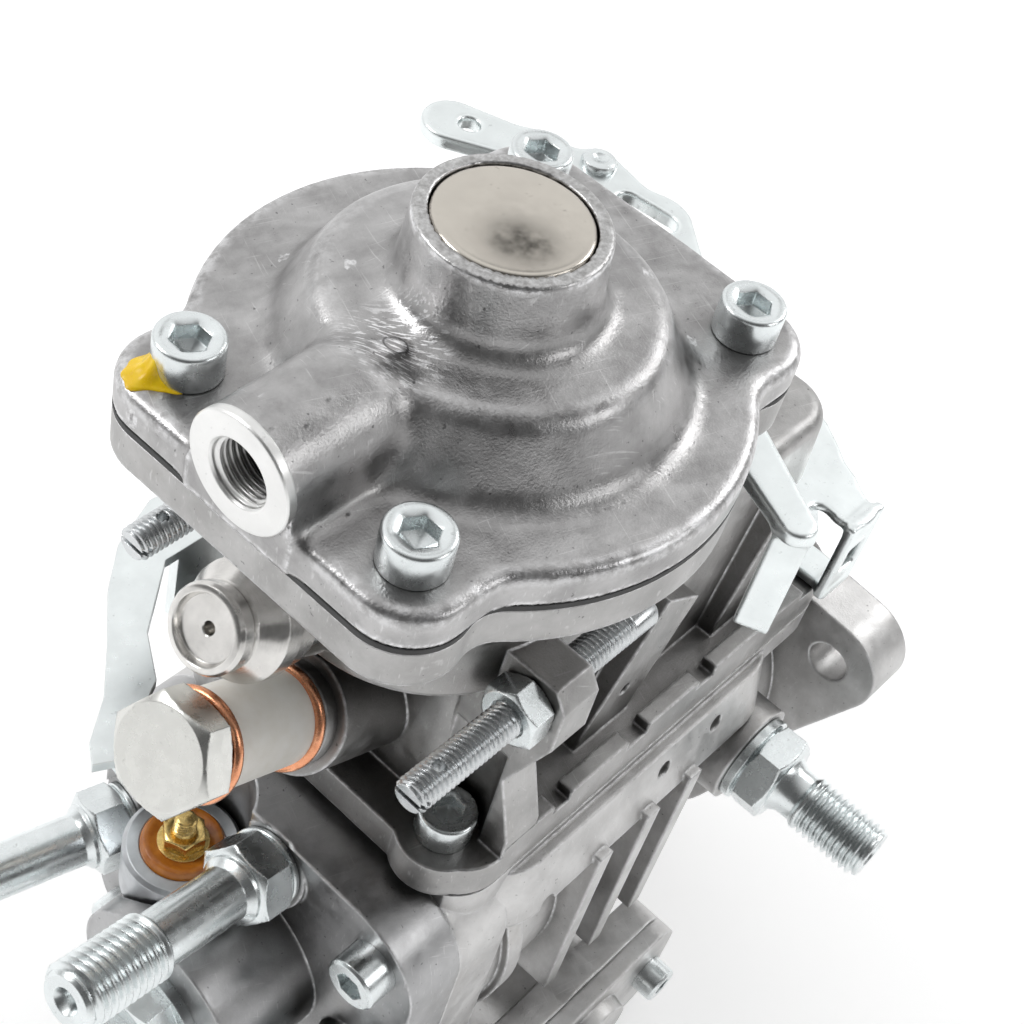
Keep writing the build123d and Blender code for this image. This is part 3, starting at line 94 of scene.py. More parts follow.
# ---------------------------------------------------------------- materials
class Nodes:
    """Short way to build a material: adds nodes, links them and keeps the shader at hand."""

    def __init__(self, name):
        self.material = bpy.data.materials.new(name)
        self.material.use_nodes = True
        self.tree = self.material.node_tree
        self.shader = self.tree.nodes["Principled BSDF"]
        self.place = self.tree.nodes.new("ShaderNodeTexCoord").outputs["Object"]

    def new(self, kind, **values):
        """Adds a node of a kind, its settings filled in."""
        node = self.tree.nodes.new(kind)
        for key, value in values.items():
            setattr(node, key, value)
        return node

    def link(self, source, target):
        """Leads an output to an input."""
        self.tree.links.new(source, target)

    def moved(self, scale=(1, 1, 1), turn=(0, 0, 0)):
        """Object coordinates turned, then scaled."""
        turned_node, scaled = self.new("ShaderNodeMapping"), self.new("ShaderNodeMapping")
        turned_node.inputs["Rotation"].default_value = turn
        scaled.inputs["Scale"].default_value = scale
        self.link(self.place, turned_node.inputs["Vector"])
        self.link(turned_node.outputs[0], scaled.inputs["Vector"])
        return scaled.outputs[0]

    def noise(self, scale, detail=4.0, rough=0.55, where=None):
        """Cloudy pattern between nought and one."""
        node = self.new("ShaderNodeTexNoise")
        node.inputs["Scale"].default_value = scale
        node.inputs["Detail"].default_value = detail
        node.inputs["Roughness"].default_value = rough
        self.link(where or self.place, node.inputs["Vector"])
        return node.outputs["Fac"]

    def lines(self, along, scale):
        """Noise that changes only with one number, such as a height or a radius: tool marks."""
        node = self.new("ShaderNodeTexNoise", noise_dimensions="1D")
        node.inputs["Scale"].default_value = scale
        self.link(along, node.inputs["W"])
        return node.outputs["Fac"]

    def along(self, direction):
        """How far a point lies along a direction."""
        node = self.new("ShaderNodeVectorMath", operation="DOT_PRODUCT")
        self.link(self.place, node.inputs[0])
        node.inputs[1].default_value = direction
        return node.outputs["Value"]

    def away(self, center):
        """How far a point is from a centre given in millimetres."""
        node = self.new("ShaderNodeVectorMath", operation="DISTANCE")
        self.link(self.place, node.inputs[0])
        node.inputs[1].default_value = [c * MM for c in center]
        return node.outputs["Value"]

    def range(self, value, low, high, out_low=0.0, out_high=1.0):
        """Value carried in a line from low and high to out_low and out_high, and held past them."""
        node = self.new("ShaderNodeMapRange")
        for key, number in zip(("From Min", "From Max", "To Min", "To Max"), (low, high, out_low, out_high)):
            node.inputs[key].default_value = number
        self.link(value, node.inputs["Value"])
        return node.outputs[0]

    def math(self, how, first, second=None):
        """One number from one or two numbers or outputs."""
        node = self.new("ShaderNodeMath", operation=how)
        for socket, value in zip(node.inputs, (first, second)):
            if isinstance(value, (int, float)):
                socket.default_value = value
            elif value is not None:
                self.link(value, socket)
        return node.outputs[0]

    def blend(self, factor, first, second):
        """Colour between two colours or colour outputs, by a factor output."""
        node = self.new("ShaderNodeMix", data_type="RGBA")
        self.link(factor, node.inputs[0])
        for socket, value in zip((node.inputs[6], node.inputs[7]), (first, second)):
            if isinstance(value, tuple):
                socket.default_value = (*value, 1.0)
            else:
                self.link(value, socket)
        return node.outputs[2]

    def edges(self, radius, samples=6):
        """Bright where a rounded-off normal differs from the true one, and that normal."""
        bevel = self.new("ShaderNodeBevel", samples=samples)
        bevel.inputs["Radius"].default_value = radius
        true_normal = self.new("ShaderNodeNewGeometry").outputs["Normal"]
        dot = self.new("ShaderNodeVectorMath", operation="DOT_PRODUCT")
        self.link(bevel.outputs[0], dot.inputs[0])
        self.link(true_normal, dot.inputs[1])
        return self.range(dot.outputs["Value"], 0.995, 0.8), bevel.outputs[0]

    def bump(self, height, strength, distance, normal=None):
        """Relief from a height output, on top of another normal where one is given."""
        node = self.new("ShaderNodeBump")
        node.inputs["Strength"].default_value = strength
        node.inputs["Distance"].default_value = distance
        self.link(height, node.inputs["Height"])
        if normal:
            self.link(normal, node.inputs["Normal"])
        self.link(node.outputs[0], self.shader.inputs["Normal"])


# directions of the scratches on a casting, in radians
SCRATCH_TURNS = (0.4, 1.9)


def cast_metal(name, dark, light, rough=(0.36, 0.52), grain=0.25, worn_edges=True, shade=0.014):
    """Die-cast aluminium: mottled grey skin with brown stains, fine scratches two ways, dark pin holes, worn
    edges and fine grain. Places shut in closer than shade, in metres, are darkened with painted shade."""
    m = Nodes(name)
    skin = m.blend(m.range(m.noise(150, 6, 0.62), 0.36, 0.64), dark, light)
    flow = m.range(m.noise(60, 3, 0.6, m.moved(scale=(1, 3, 1), turn=(0, 0, 0.5))), 0.5, 0.72, 0.0, 0.4)
    skin = m.blend(flow, skin, tuple(c * 0.72 for c in dark))
    stain = m.range(m.noise(38, 5, 0.7), 0.56, 0.74, 0.0, 0.3)
    skin = m.blend(stain, skin, (dark[0] * 0.62, dark[1] * 0.57, dark[2] * 0.50))
    for turn in SCRATCH_TURNS:
        streaks = m.noise(1, 2, 0.5, m.moved(scale=(3400, 90, 400), turn=(0, 0, turn)))
        skin = m.blend(m.range(streaks, 0.66, 0.74, 0.0, 0.30), skin, (0.82, 0.82, 0.82))
    # painted shade: the colour goes towards near black where ambient occlusion finds the casting shut in
    painted_shade = m.new("ShaderNodeAmbientOcclusion", samples=4)
    painted_shade.inputs["Distance"].default_value = shade
    skin = m.blend(m.range(painted_shade.outputs["AO"], 0.8, 0.3, 0.0, 0.8), skin, (0.08, 0.076, 0.072))
    pits = m.range(m.noise(1100, 2, 0.5), 0.70, 0.76, 0.0, 0.7)
    skin = m.blend(pits, skin, (0.10, 0.10, 0.10))
    normal = None
    if worn_edges:
        worn, normal = m.edges(0.0009)
        patchy = m.math("MULTIPLY", worn, m.range(m.noise(700, 3), 0.38, 0.62, 0.25, 1.0))
        skin = m.blend(patchy, skin, (0.80, 0.80, 0.81))
    m.shader.inputs["Metallic"].default_value = 1.0
    m.link(m.range(m.noise(300, 5, 0.6), 0.3, 0.7, *rough), m.shader.inputs["Roughness"])
    height = m.math("ADD", m.noise(2600, 3, 0.6), m.math("MULTIPLY", m.noise(650, 3), 1.2))
    m.bump(height, grain, 0.00012, normal)
    m.link(skin, m.shader.inputs["Base Color"])
    m.skin = skin
    return m


def machined(name, color, rough, lines=None, scale=9000, depth=0.1, stain=(0.75, 0.95)):
    """Bright worked or plated metal: faint clouding, tool marks along lines if given, softened edges."""
    m = Nodes(name)
    tone = m.blend(m.range(m.noise(170, 5, 0.6), 0.3, 0.7), tuple(c * stain[0] for c in color), color)
    spots = m.range(m.noise(900, 3, 0.6), 0.66, 0.74, 0.0, 0.45)
    tone = m.blend(spots, tone, tuple(c * 0.5 for c in color))
    worn, normal = m.edges(0.0003, 4)
    m.link(m.blend(worn, tone, tuple(min(1.0, c * 1.15) for c in color)), m.shader.inputs["Base Color"])
    m.shader.inputs["Metallic"].default_value = 1.0
    m.link(m.range(m.noise(420, 4), 0.3, 0.7, rough, rough + 0.12), m.shader.inputs["Roughness"])
    marks = m.lines(lines(m), scale) if lines else m.noise(1500, 3)
    m.bump(marks, depth, 0.00006, normal)
    return m


def dull(name, color, second, rough=0.6, scale=400, metallic=0.0, bump=0.15):
    """Plain solid colour with slight clouding and grain, for rubber, plastic or bronze."""
    m = Nodes(name)
    m.link(m.blend(m.range(m.noise(scale, 4), 0.3, 0.7), color, second), m.shader.inputs["Base Color"])
    m.shader.inputs["Metallic"].default_value = metallic
    m.link(m.range(m.noise(scale * 2, 3), 0.3, 0.7, rough - 0.08, rough + 0.08), m.shader.inputs["Roughness"])
    m.bump(m.noise(scale * 4, 3), bump, 0.0001, m.edges(0.0003, 4)[1])
    return m


def cap_metal():
    """Cap casting: shoulders lighter, partly scuffs and partly painted highlight; hollows darker, partly
    stain and partly painted shade; a brushed ring on the tower; the ejector mark with its scratches.
    """
    m = cast_metal("cap casting", (0.33, 0.325, 0.325), (0.50, 0.495, 0.495), (0.27, 0.42), 0.34,
                   worn_edges=False, shade=0.007)
    pointiness = m.new("ShaderNodeNewGeometry").outputs["Pointiness"]
    # crests and shoulders lightened, partly wear from rubbing and partly painted highlight
    crest = m.range(pointiness, 0.504, 0.528, 0.0, 0.85)
    rubbed_and_highlit = m.math("MULTIPLY", crest, m.range(m.noise(420, 5, 0.7), 0.42, 0.6))
    skin = m.blend(rubbed_and_highlit, m.skin, (0.86, 0.86, 0.87))
    # hollows darkened and browned, partly stain and partly painted shade
    hollow = m.range(pointiness, 0.492, 0.455, 0.0, 0.5)
    skin = m.blend(hollow, skin, (0.24, 0.225, 0.21))
    mark = m.away((CAP_X + MARK[0], MARK[1], CAP_TOP + 12.0))
    streaks = m.range(m.noise(1, 3, 0.6, m.moved(scale=(2600, 420, 900), turn=(0, 0, -0.55))), 0.52, 0.60)
    scratched = m.math("MULTIPLY", streaks, m.range(mark, 0.0095, 0.0040))
    skin = m.blend(scratched, skin, (0.95, 0.95, 0.96))
    circle = m.range(m.math("ABSOLUTE", m.math("SUBTRACT", mark, MARK[2] * MM)), 0.00022, 0.00008, 0.0, 0.8)
    skin = m.blend(circle, skin, (0.12, 0.12, 0.12))
    tower_top = CAP_TOP + TOWER_HEIGHT
    ring_top = m.range(m.along((0, 0, 1)), (tower_top - 0.35) * MM, (tower_top - 0.1) * MM)
    scuffs = m.blend(m.range(m.noise(900, 5, 0.75), 0.36, 0.68), (0.34, 0.335, 0.33), (0.66, 0.66, 0.66))
    skin = m.blend(ring_top, skin, scuffs)
    m.link(skin, m.shader.inputs["Base Color"])
    return m


def port_nose_metal():
    """Faced aluminium with rings left by the cutter, darkened with painted shade down the bore."""
    face = CAP_X + PORT_FACE
    m = machined("faced aluminium", (0.84, 0.84, 0.83), 0.30,
                 lambda m: m.away((face, 0, CAP_TOP + PORT_HEIGHT)), 7000, 0.25, (0.92, 1.0))
    # painted shade: the colour goes towards near black from 1.2 mm to 7 mm into the bore
    depth = m.range(m.along((1, 0, 0)), (face + 1.2) * MM, (face + 7) * MM)
    faced = m.shader.inputs["Base Color"].links[0].from_socket
    m.link(m.blend(depth, faced, (0.05, 0.045, 0.04)), m.shader.inputs["Base Color"])
    return m


cap_skin = cap_metal()
# the cover's painted shade reaches 30 mm, so that it is dark under the cap's flange
cover_skin = cast_metal("cover casting", (0.36, 0.355, 0.35), (0.50, 0.495, 0.49), (0.32, 0.50), 0.28,
                        shade=0.03)
housing_skin = cast_metal("housing casting", (0.52, 0.515, 0.51), (0.68, 0.675, 0.67), (0.34, 0.52), 0.28,
                          shade=0.007)
head_metal = cast_metal("head casting", (0.40, 0.40, 0.405), (0.52, 0.52, 0.525), (0.30, 0.46), 0.18)
zinc = machined("bright zinc", (0.80, 0.84, 0.845), 0.20, stain=(0.85, 1.0))
lever_zinc = machined("lever zinc", (0.88, 0.925, 0.925), 0.26, stain=(0.9, 1.0))
zinc_dull = machined("dull zinc", (0.60, 0.62, 0.64), 0.32)
nickel = machined("bolt plating", (0.72, 0.72, 0.69), 0.22, stain=(0.9, 1.0))
turned_metal = machined("turned aluminium", (0.80, 0.785, 0.76), 0.16, lambda m: m.along(FITTING), 5000, 0.25)
port_metal = port_nose_metal()
tin = machined("pressed tin", (0.58, 0.545, 0.49), 0.12, None, 0, 0.02, (0.93, 1.0))
ground_steel = machined("ground steel", (0.52, 0.53, 0.55), 0.28)
thread_steel = machined("thread steel", (0.66, 0.68, 0.69), 0.20)
spring_wire = machined("spring wire", (0.30, 0.31, 0.33), 0.3)
copper = dull("copper", (0.90, 0.44, 0.26), (0.76, 0.32, 0.17), 0.26, 500, 1.0)
sleeve_plastic = dull("sleeve plastic", (0.95, 0.93, 0.88), (0.89, 0.86, 0.79), 0.40)
rubber = dull("black rubber", (0.05, 0.05, 0.05), (0.09, 0.09, 0.09), 0.7)
bronze = dull("bearing bronze", (0.55, 0.36, 0.16), (0.44, 0.28, 0.12), 0.35, 600, 1.0)
amber = dull("amber plastic", (0.55, 0.19, 0.02), (0.36, 0.10, 0.012), 0.20)
brass = dull("brass", (0.80, 0.60, 0.25), (0.66, 0.46, 0.16), 0.25, 500, 1.0)
yellow_paint = dull("yellow paint", (1.0, 0.70, 0.01), (1.0, 0.62, 0.01), 0.24)

SLOT_MATERIALS = {
    "casting": housing_skin, "cap_casting": cap_skin, "head_steel": head_metal, "zinc": zinc,
    "bright_steel": turned_metal, "tin": tin, "inner_steel": ground_steel, "copper": copper,
    "sleeve": sleeve_plastic, "gasket": rubber, "spring": spring_wire, "bronze": bronze,
    "insulator": amber, "brass": brass, "solenoid_can": zinc_dull,
}
NODE_MATERIALS = {"governor_cover": cover_skin, "rear_bracket": lever_zinc}
node_slots = {part["node"]: part["material_slot"] for part in frame["record"]["subparts"]}
for node_name, thing in frame["nodes"].items():
    thing.data.materials.clear()
    thing.data.materials.append(NODE_MATERIALS.get(node_name, SLOT_MATERIALS[node_slots[node_name]]).material)
    for face in thing.data.polygons:
        face.material_index = 0


# ---------------------------------------------------------------- pieces
def piece(name, shapes, skin, body, nodes=(), sharp=38):
    """Joins (points in millimetres, faces) shapes into one object that rides on a body."""
    points, faces, start = [], [], 0
    for shape_points, shape_faces in shapes:
        points.append(shape_points)
        faces.extend([[corner + start for corner in face] for face in shape_faces])
        start += len(shape_points)
    mesh = bpy.data.meshes.new(name)
    mesh.from_pydata((np.concatenate(points) * MM).tolist(), [], faces)
    mesh.polygons.foreach_set("use_smooth", np.ones(len(mesh.polygons), bool))
    if sharp:
        mesh.set_sharp_from_angle(angle=math.radians(sharp))
    mesh.materials.append(skin.material)
    thing = bpy.data.objects.new(name, mesh)
    bpy.context.scene.collection.objects.link(thing)
    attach(thing, body)
    if nodes:
        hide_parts(*nodes)
    return thing


def turned(place, direction, rows, pitch=1.0, across=None, count=72):
    """Closed skin of a turned piece. A row is (height, radius, flats, cut): at an angle its radius is the
    smaller of that radius and the side of a hexagon with those flats, less a helical groove of depth cut
    that climbs one pitch a turn. The first and last rows lie on the axis."""
    height, radius, flats, cut = (np.array(column, float)[:, None] for column in zip(*rows))
    angle = np.linspace(0, 2 * math.pi, count, endpoint=False)[None, :]
    side = flats / 2 / np.cos((angle + math.pi / 6) % (math.pi / 3) - math.pi / 6)
    reach = np.where(flats > 0, np.minimum(radius, side), radius)
    turn = (height / pitch - angle / (2 * math.pi)) % 1.0
    reach = reach - cut * np.clip(1.5 * (1 - np.abs(2 * turn - 1)) - 0.15, 0, 1)
    axis = np.array(direction, float) / np.linalg.norm(direction)
    across = across or ((1, 0, 0) if abs(axis[2]) > 0.9 else (0, 0, 1))
    first = np.array(across, float) - np.dot(across, axis) * axis
    first /= np.linalg.norm(first)
    second = np.cross(axis, first)
    spoke = np.cos(angle)[..., None] * first + np.sin(angle)[..., None] * second
    points = np.array(place) + height[..., None] * axis + reach[..., None] * spoke
    inner = points[1:-1].reshape(-1, 3)
    ends = np.stack([points[0, 0], points[-1, 0]])
    row, step = np.meshgrid(np.arange(len(rows) - 3), np.arange(count), indexing="ij")
    here, there = row * count + step, row * count + (step + 1) % count
    quads = np.stack([here, there, there + count, here + count], axis=-1).reshape(-1, 4)
    ring = np.arange(count)
    last = (len(rows) - 3) * count
    low = np.stack([np.full(count, len(inner)), (ring + 1) % count, ring], axis=-1)
    high = np.stack([np.full(count, len(inner) + 1), last + ring, last + (ring + 1) % count], axis=-1)
    return np.concatenate([inner, ends]), quads.tolist() + low.tolist() + high.tolist()


def plain(*pairs):
    """Round rows from (height, radius) pairs."""
    return [(height, radius, 0, 0) for height, radius in pairs]


def rounded(height, radius, turn, low=False):
    """Rows of a quarter round at an outer corner: the radius shrinks by turn towards the end face."""
    way = 1 if low else -1
    pairs = [(height + way * turn * (1 - math.sin(a)), radius - turn * (1 - math.cos(a)))
             for a in np.linspace(0, math.pi / 2, 5)]
    return plain(*(pairs[::-1] if low else pairs))


def hexagon(low, high, flats):
    """Rows of a hexagon whose corners are turned off by a 30 degree cone at either end."""
    face, corner = 0.475 * flats, flats / math.sqrt(3)
    drop = (corner - face) * math.tan(math.radians(30))
    share = np.linspace(0, 1, 6)
    rise = [(low + drop * t, face + (corner - face) * t, flats, 0) for t in share]
    fall = [(high - drop * t, face + (corner - face) * t, flats, 0) for t in share[::-1]]
    return rise + fall


def thread(low, high, radius, pitch, chamfer=True):
    """Rows of a thread: grooves 0.6 of a pitch deep that fade in over one turn, its free end turned down."""
    depth = 0.6 * pitch
    heights = np.arange(low, high, pitch / 8)
    fade = np.clip(np.minimum(heights - low, (high - heights) * 4) / pitch, 0, 1)
    taper = np.clip(1 - (high - heights) / depth, 0, 1) * depth * 0.8 if chamfer else 0 * heights
    return [(h, radius - t, 0, depth * f) for h, t, f in zip(heights, taper, fade)]


def socket_head(place):
    """Socket screw: shank, head with rounded rims, and a countersunk hexagon socket."""
    socket = [(5.9, 3.3, 0, 0), (5.5, 2.95, 5.0, 0), (3.0, 2.95, 5.0, 0), (2.2, 0, 0, 0)]
    shank = plain((-12, 0), (-12, 3), (0, 3), (0, 4.6))
    return turned(place, (0, 0, 1), shank + rounded(0, 5, 0.3, True) + rounded(6, 5, 0.65) + socket)


def soft_union(first, second, blend):
    """Smaller of two distances, their meeting filled by a fillet about 0.85 of blend in radius."""
    near = np.clip(1 - np.abs(first - second) / blend, 0, None)
    return np.minimum(first, second) - near * near * blend / 4


def soft_cut(first, second, blend):
    """Larger of two distances, their meeting edge rounded off in the same way."""
    return -soft_union(-first, -second, blend)


def outline_distance(across, up, corners):
    """Distance to a closed outline of straight sides, negative inside it: the nearest side, with the sign
    from how often a level ray crosses the sides."""
    best, inside = np.full(across.shape, 1e9), np.zeros(across.shape, bool)
    for (ax, az), (bx, bz) in zip(corners, corners[1:] + corners[:1]):
        length = (bx - ax) ** 2 + (bz - az) ** 2
        share = np.clip(((across - ax) * (bx - ax) + (up - az) * (bz - az)) / length, 0, 1)
        best = np.minimum(best, np.hypot(across - ax - share * (bx - ax), up - az - share * (bz - az)))
        if az != bz:
            crossing = ax + (up - az) * (bx - ax) / (bz - az)
            inside ^= ((az > up) != (bz > up)) & (across < crossing)
    return np.where(inside, -best, best)


CHAMBER = [(0, -6.5), (30.2, -6.5), (28.5, -2.5), (23, 1.5), (21, 7.5), (8, 8.2), (8, TOWER_HEIGHT - 6.5),
           (TOWER_BORE, TOWER_HEIGHT - 6.5), (TOWER_BORE, TOWER_HEIGHT + 3), (0, TOWER_HEIGHT + 3)]


def cap_distance(p):
    """Distance to the cap's skin: an eared flange, a sloping dome and a tower about the upright axis and an
    arched port hood, each a distance of its own, joined with fillets, less the chamber, bores and holes."""
    x, y, z = p[..., 0], p[..., 1], p[..., 2]
    ring = np.hypot(x, y)
    ears = np.hypot(np.abs(x) - EAR_X, np.maximum(np.abs(y) - EAR_Y, 0)) - EAR_RADIUS
    edge = soft_union(ring - FLANGE_RADIUS, ears, 6.0)
    flange = soft_cut(edge, z, 2.4)
    slope = soft_cut((ring - 30.5) * 0.885 + z * 0.466, (ring - 24.6) * 0.080 + (z - 11.2) * 0.997, 2.2)
    tower = soft_cut((ring - 14.6) * 0.997 + (z - 12) * 0.081, z - TOWER_HEIGHT, 0.7)
    body = soft_union(flange, soft_union(slope, tower, 4.0), 3.0)
    mark = soft_cut(np.hypot(x - MARK[0], y - MARK[1]) - MARK[2], z - 12.05, 0.3)
    body = np.minimum(body, np.maximum(mark, 9.0 - z))
    reach = PORT_RADIUS + 0.35 * (x - PORT_FACE) / (PORT_END - PORT_FACE)
    hood = np.sqrt(np.maximum(x - PORT_END, 0) ** 2 + y ** 2 + np.maximum(z - PORT_HEIGHT, 0) ** 2) - reach
    hood = np.maximum(hood, 0.7 - x + PORT_FACE)
    solid = soft_union(body, hood, 3.0)
    solid = soft_cut(np.maximum(solid, 0.7 - x + PORT_FACE), -CAP_FLANGE - z, 0.3)
    solid = np.maximum(solid, -outline_distance(ring, z, CHAMBER))
    solid = np.maximum(solid, 3.3 - np.hypot(np.abs(x) - EAR_X, np.abs(y) - EAR_Y))
    across_port = np.hypot(y, z - PORT_HEIGHT)
    solid = np.maximum(solid, -np.maximum(across_port - 5.8, x - PORT_FACE - 13.0))
    return np.maximum(solid, -np.maximum(across_port - 2.2, x + 21.0))


# how far to either side the slope of a distance is measured, in millimetres
PROBE = 0.05


def skin_of(distance, low, high, step):
    """Closed mesh where a distance field is nought: one point for each grid cell that the surface crosses,
    moved down the field's slope onto it, and one face for each grid edge that the surface crosses."""
    axes = [np.arange(a, b + step, step) for a, b in zip(low, high)]
    inside = distance(np.stack(np.meshgrid(*axes, indexing="ij"), axis=-1)) < 0
    size = [n - 1 for n in inside.shape]
    filled = sum(inside[i:size[0] + i, j:size[1] + j, k:size[2] + k].astype(int)
                 for i in (0, 1) for j in (0, 1) for k in (0, 1))
    crossed = (filled > 0) & (filled < 8)
    number = np.full(crossed.shape, -1)
    number[crossed] = np.arange(crossed.sum())
    middle = np.array(low) + (np.argwhere(crossed) + 0.5) * step
    points = middle.copy()
    for _ in range(6):
        value = distance(points)
        rise = [distance(points + shift) - distance(points - shift) for shift in PROBE * np.eye(3)]
        slope = np.stack(rise, axis=-1) / (2 * PROBE)
        points -= slope * (value / np.maximum((slope ** 2).sum(-1), 0.2))[:, None]
        points = np.clip(points, middle - 0.55 * step, middle + 0.55 * step)
    faces = []
    for axis in range(3):
        near, far = np.moveaxis(inside, axis, 0)[:-1], np.moveaxis(inside, axis, 0)[1:]
        cell = np.moveaxis(number, axis, 0)
        edge = (near != far)[:, 1:-1, 1:-1]
        i, j, k = np.nonzero(edge)
        quad = np.stack([cell[i, j, k], cell[i, j + 1, k], cell[i, j + 1, k + 1], cell[i, j, k + 1]], axis=-1)
        outward = near[:, 1:-1, 1:-1][edge] ^ (axis == 1)
        faces.append(np.where(outward[:, None], quad, quad[:, ::-1]))
    return points, np.concatenate(faces).tolist()


def build_cap():
    """Cap casting, and the faced nose of its port with the threaded bore."""
    points, faces = skin_of(cap_distance, (-46.6, -42.5, -7.0), (46.2, 42.5, 24.6), 0.6)
    piece("cap_casting_skin", [(points + (CAP_X, 0, CAP_TOP), faces)], cap_skin, "pump_body",
          ["compensator_cap"], 0)
    collar = PORT_RADIUS + 0.08
    bore = thread(-12.0, -0.9, 4.95, 1.0, False)[::-1]
    rows = plain((-12.5, 0), (-12.5, 5.7), (-1.6, 5.7), (-1.6, collar), (-0.35, collar),
                 (-0.08, PORT_RADIUS - 0.12), (0, PORT_RADIUS - 0.4), (0, 5.3), (-0.35, 4.95), (-0.8, 4.95))
    nose = turned((CAP_X + PORT_FACE, 0, CAP_TOP + PORT_HEIGHT), (-1, 0, 0),
                  rows + bore + plain((-12.2, 2.2), (-12.4, 0)), 1.0, count=96)
    piece("port_nose", [nose], port_metal, "pump_body", sharp=30)


def disc(x, y, center, radius):
    """Distance to a round disc in a level plane."""
    return np.hypot(x - center[0], y - center[1]) - radius


def arm(x, y, start, start_radius, end, end_radius):
    """Distance to a tapering arm with round ends: to the nearest point of its middle line, less the
    radius there."""
    run = np.array(end, float) - start
    share = np.clip(((x - start[0]) * run[0] + (y - start[1]) * run[1]) / (run @ run), 0, 1)
    nearest = np.hypot(x - start[0] - share * run[0], y - start[1] - share * run[1])
    return nearest - start_radius - (end_radius - start_radius) * share


def block(x, y, z, center, half, turn=0.0):
    """Distance to a box turned about the upright axis: the length of what lies past a smaller box, less
    the radius of its rounded edges."""
    c, s = math.cos(turn), math.sin(turn)
    along, aside = (x - center[0]) * c + (y - center[1]) * s, (y - center[1]) * c - (x - center[0]) * s
    past = np.stack([np.abs(along) - half[0], np.abs(aside) - half[1], np.abs(z - center[2]) - half[2]]) + 0.5
    return np.sqrt((np.maximum(past, 0) ** 2).sum(0)) + np.minimum(past.max(0), 0) - 0.5


def plate(outline, z, low, high):
    """Distance to a level plate: its outline and its two faces, edges rounded off."""
    return soft_cut(outline, np.abs(z - (low + high) / 2) - (high - low) / 2, 0.9)


def lever_distance(p):
    """Distance to the speed lever: arms and lobes joined by fillets, two tabs bent down from it, less the
    pivot bore, the cable hole and two slots."""
    x, y, z = p[..., 0], p[..., 1], p[..., 2]
    outline = soft_union(disc(x, y, LEVER_PIVOT, 12.0), arm(x, y, (-37.5, 9), 6.5, (-30.2, 19.5), 7.8), 4.0)
    outline = soft_union(outline, arm(x, y, (-31, 22), 6.2, (-27.4, 35.2), 5.2), 2.0)
    outline = soft_union(outline, arm(x, y, (-30, 32), 5.0, (-33.0, 44.3), 5.8), 1.6)
    outline = soft_union(outline, arm(x, y, (-33.5, 46), 4.6, (-40.0, 59.0), 6.0), 3.0)
    for tab, root in zip(LEVER_TABS, (10.0, 6.0)):
        outline = soft_union(outline, arm(x, y, LEVER_PIVOT, root, tab, 3.2), 5.0)
    solid = plate(outline, z, LEVER_LOW, LEVER_HIGH)
    for tab, turn in zip(LEVER_TABS, (0.0, math.radians(24))):
        solid = soft_union(solid, block(x, y, z, (*tab, 93.4), (1.1, 3.0, 12.2), turn), 1.5)
    holes = np.minimum(disc(x, y, LEVER_PIVOT, 5.0), disc(x, y, LEVER_CABLE_HOLE, 2.0))
    holes = np.minimum(holes, arm(x, y, (-33.6, 45.2), 2.7, (-31.8, 42.6), 2.7))
    holes = np.minimum(holes, arm(x, y, (-30.0, 25.0), 2.4, (-29.2, 17.5), 2.6))
    return soft_cut(solid, -holes, 0.7)


def bracket_distance(p):
    """Distance to the cable bracket: a lobed top plate, a leg with a window and a foot round the screw."""
    x, y, z = p[..., 0], p[..., 1], p[..., 2]
    right_lobe = arm(x, y, (-8.6, -13.5), 7.0, (-15.5, -24.0), 6.4)
    left_lobe = arm(x, y, (-13.5, -17), 7.0, (-24, -22), 6.0)
    top = soft_union(right_lobe, left_lobe, 4.0)
    top = soft_union(top, arm(x, y, (-15, -27), 5.0, (-17.5, -33), 4.5), 3.0)
    leg = block(x, y, z, (-17.2, -36.2, 58.0), (5.5, 1.0, 10.0))
    tongue = block(x, y, np.zeros_like(z), (-17.4, -30.5, 0), (4.0, 6.5, 9))
    foot = plate(np.minimum(disc(x, y, BRACKET_SCREW, 6.0), tongue), z, *BRACKET_FOOT)
    solid = soft_union(soft_union(plate(top, z, *BRACKET_TOP), leg, 1.5), foot, 1.5)
    screw_hole = disc(x, y, BRACKET_SCREW, 3.3) + 100 * (z > BRACKET_FOOT[1] + 10)
    window = block(x, y, z, (-17.2, -36.2, 57.5), (2.6, 3.0, 3.2))
    holes = np.minimum(np.minimum(disc(x, y, BRACKET_HOLE, 2.0), screw_hole), window)
    return soft_cut(solid, -holes, 0.5)


def build_plates():
    """Speed lever with its rivet, and the cable bracket."""
    points, faces = skin_of(lever_distance, (-87.5, -46.0, 80.2), (-15.0, 66.5, 108.0), 0.5)
    piece("speed_lever_plate", [(points, faces)], lever_zinc, "speed_lever", ["control_lever"], 50)
    rivet = plain((106.4, 0), (106.4, 3.4), (107.6, 3.4), (108.3, 3.0), (108.6, 2.2), (108.65, 1.4),
                  (108.3, 0.9), (108.2, 0))
    piece("lever_rivet", [turned(LEVER_RIVET, (0, 0, 1), rivet)], zinc, "speed_lever")
    points, faces = skin_of(bracket_distance, (-30.0, -38.4, 47.4), (-1.2, -4.6, 68.8), 0.5)
    piece("cable_bracket_plate", [(points, faces)], lever_zinc, "pump_body", ["cable_bracket"], 50)


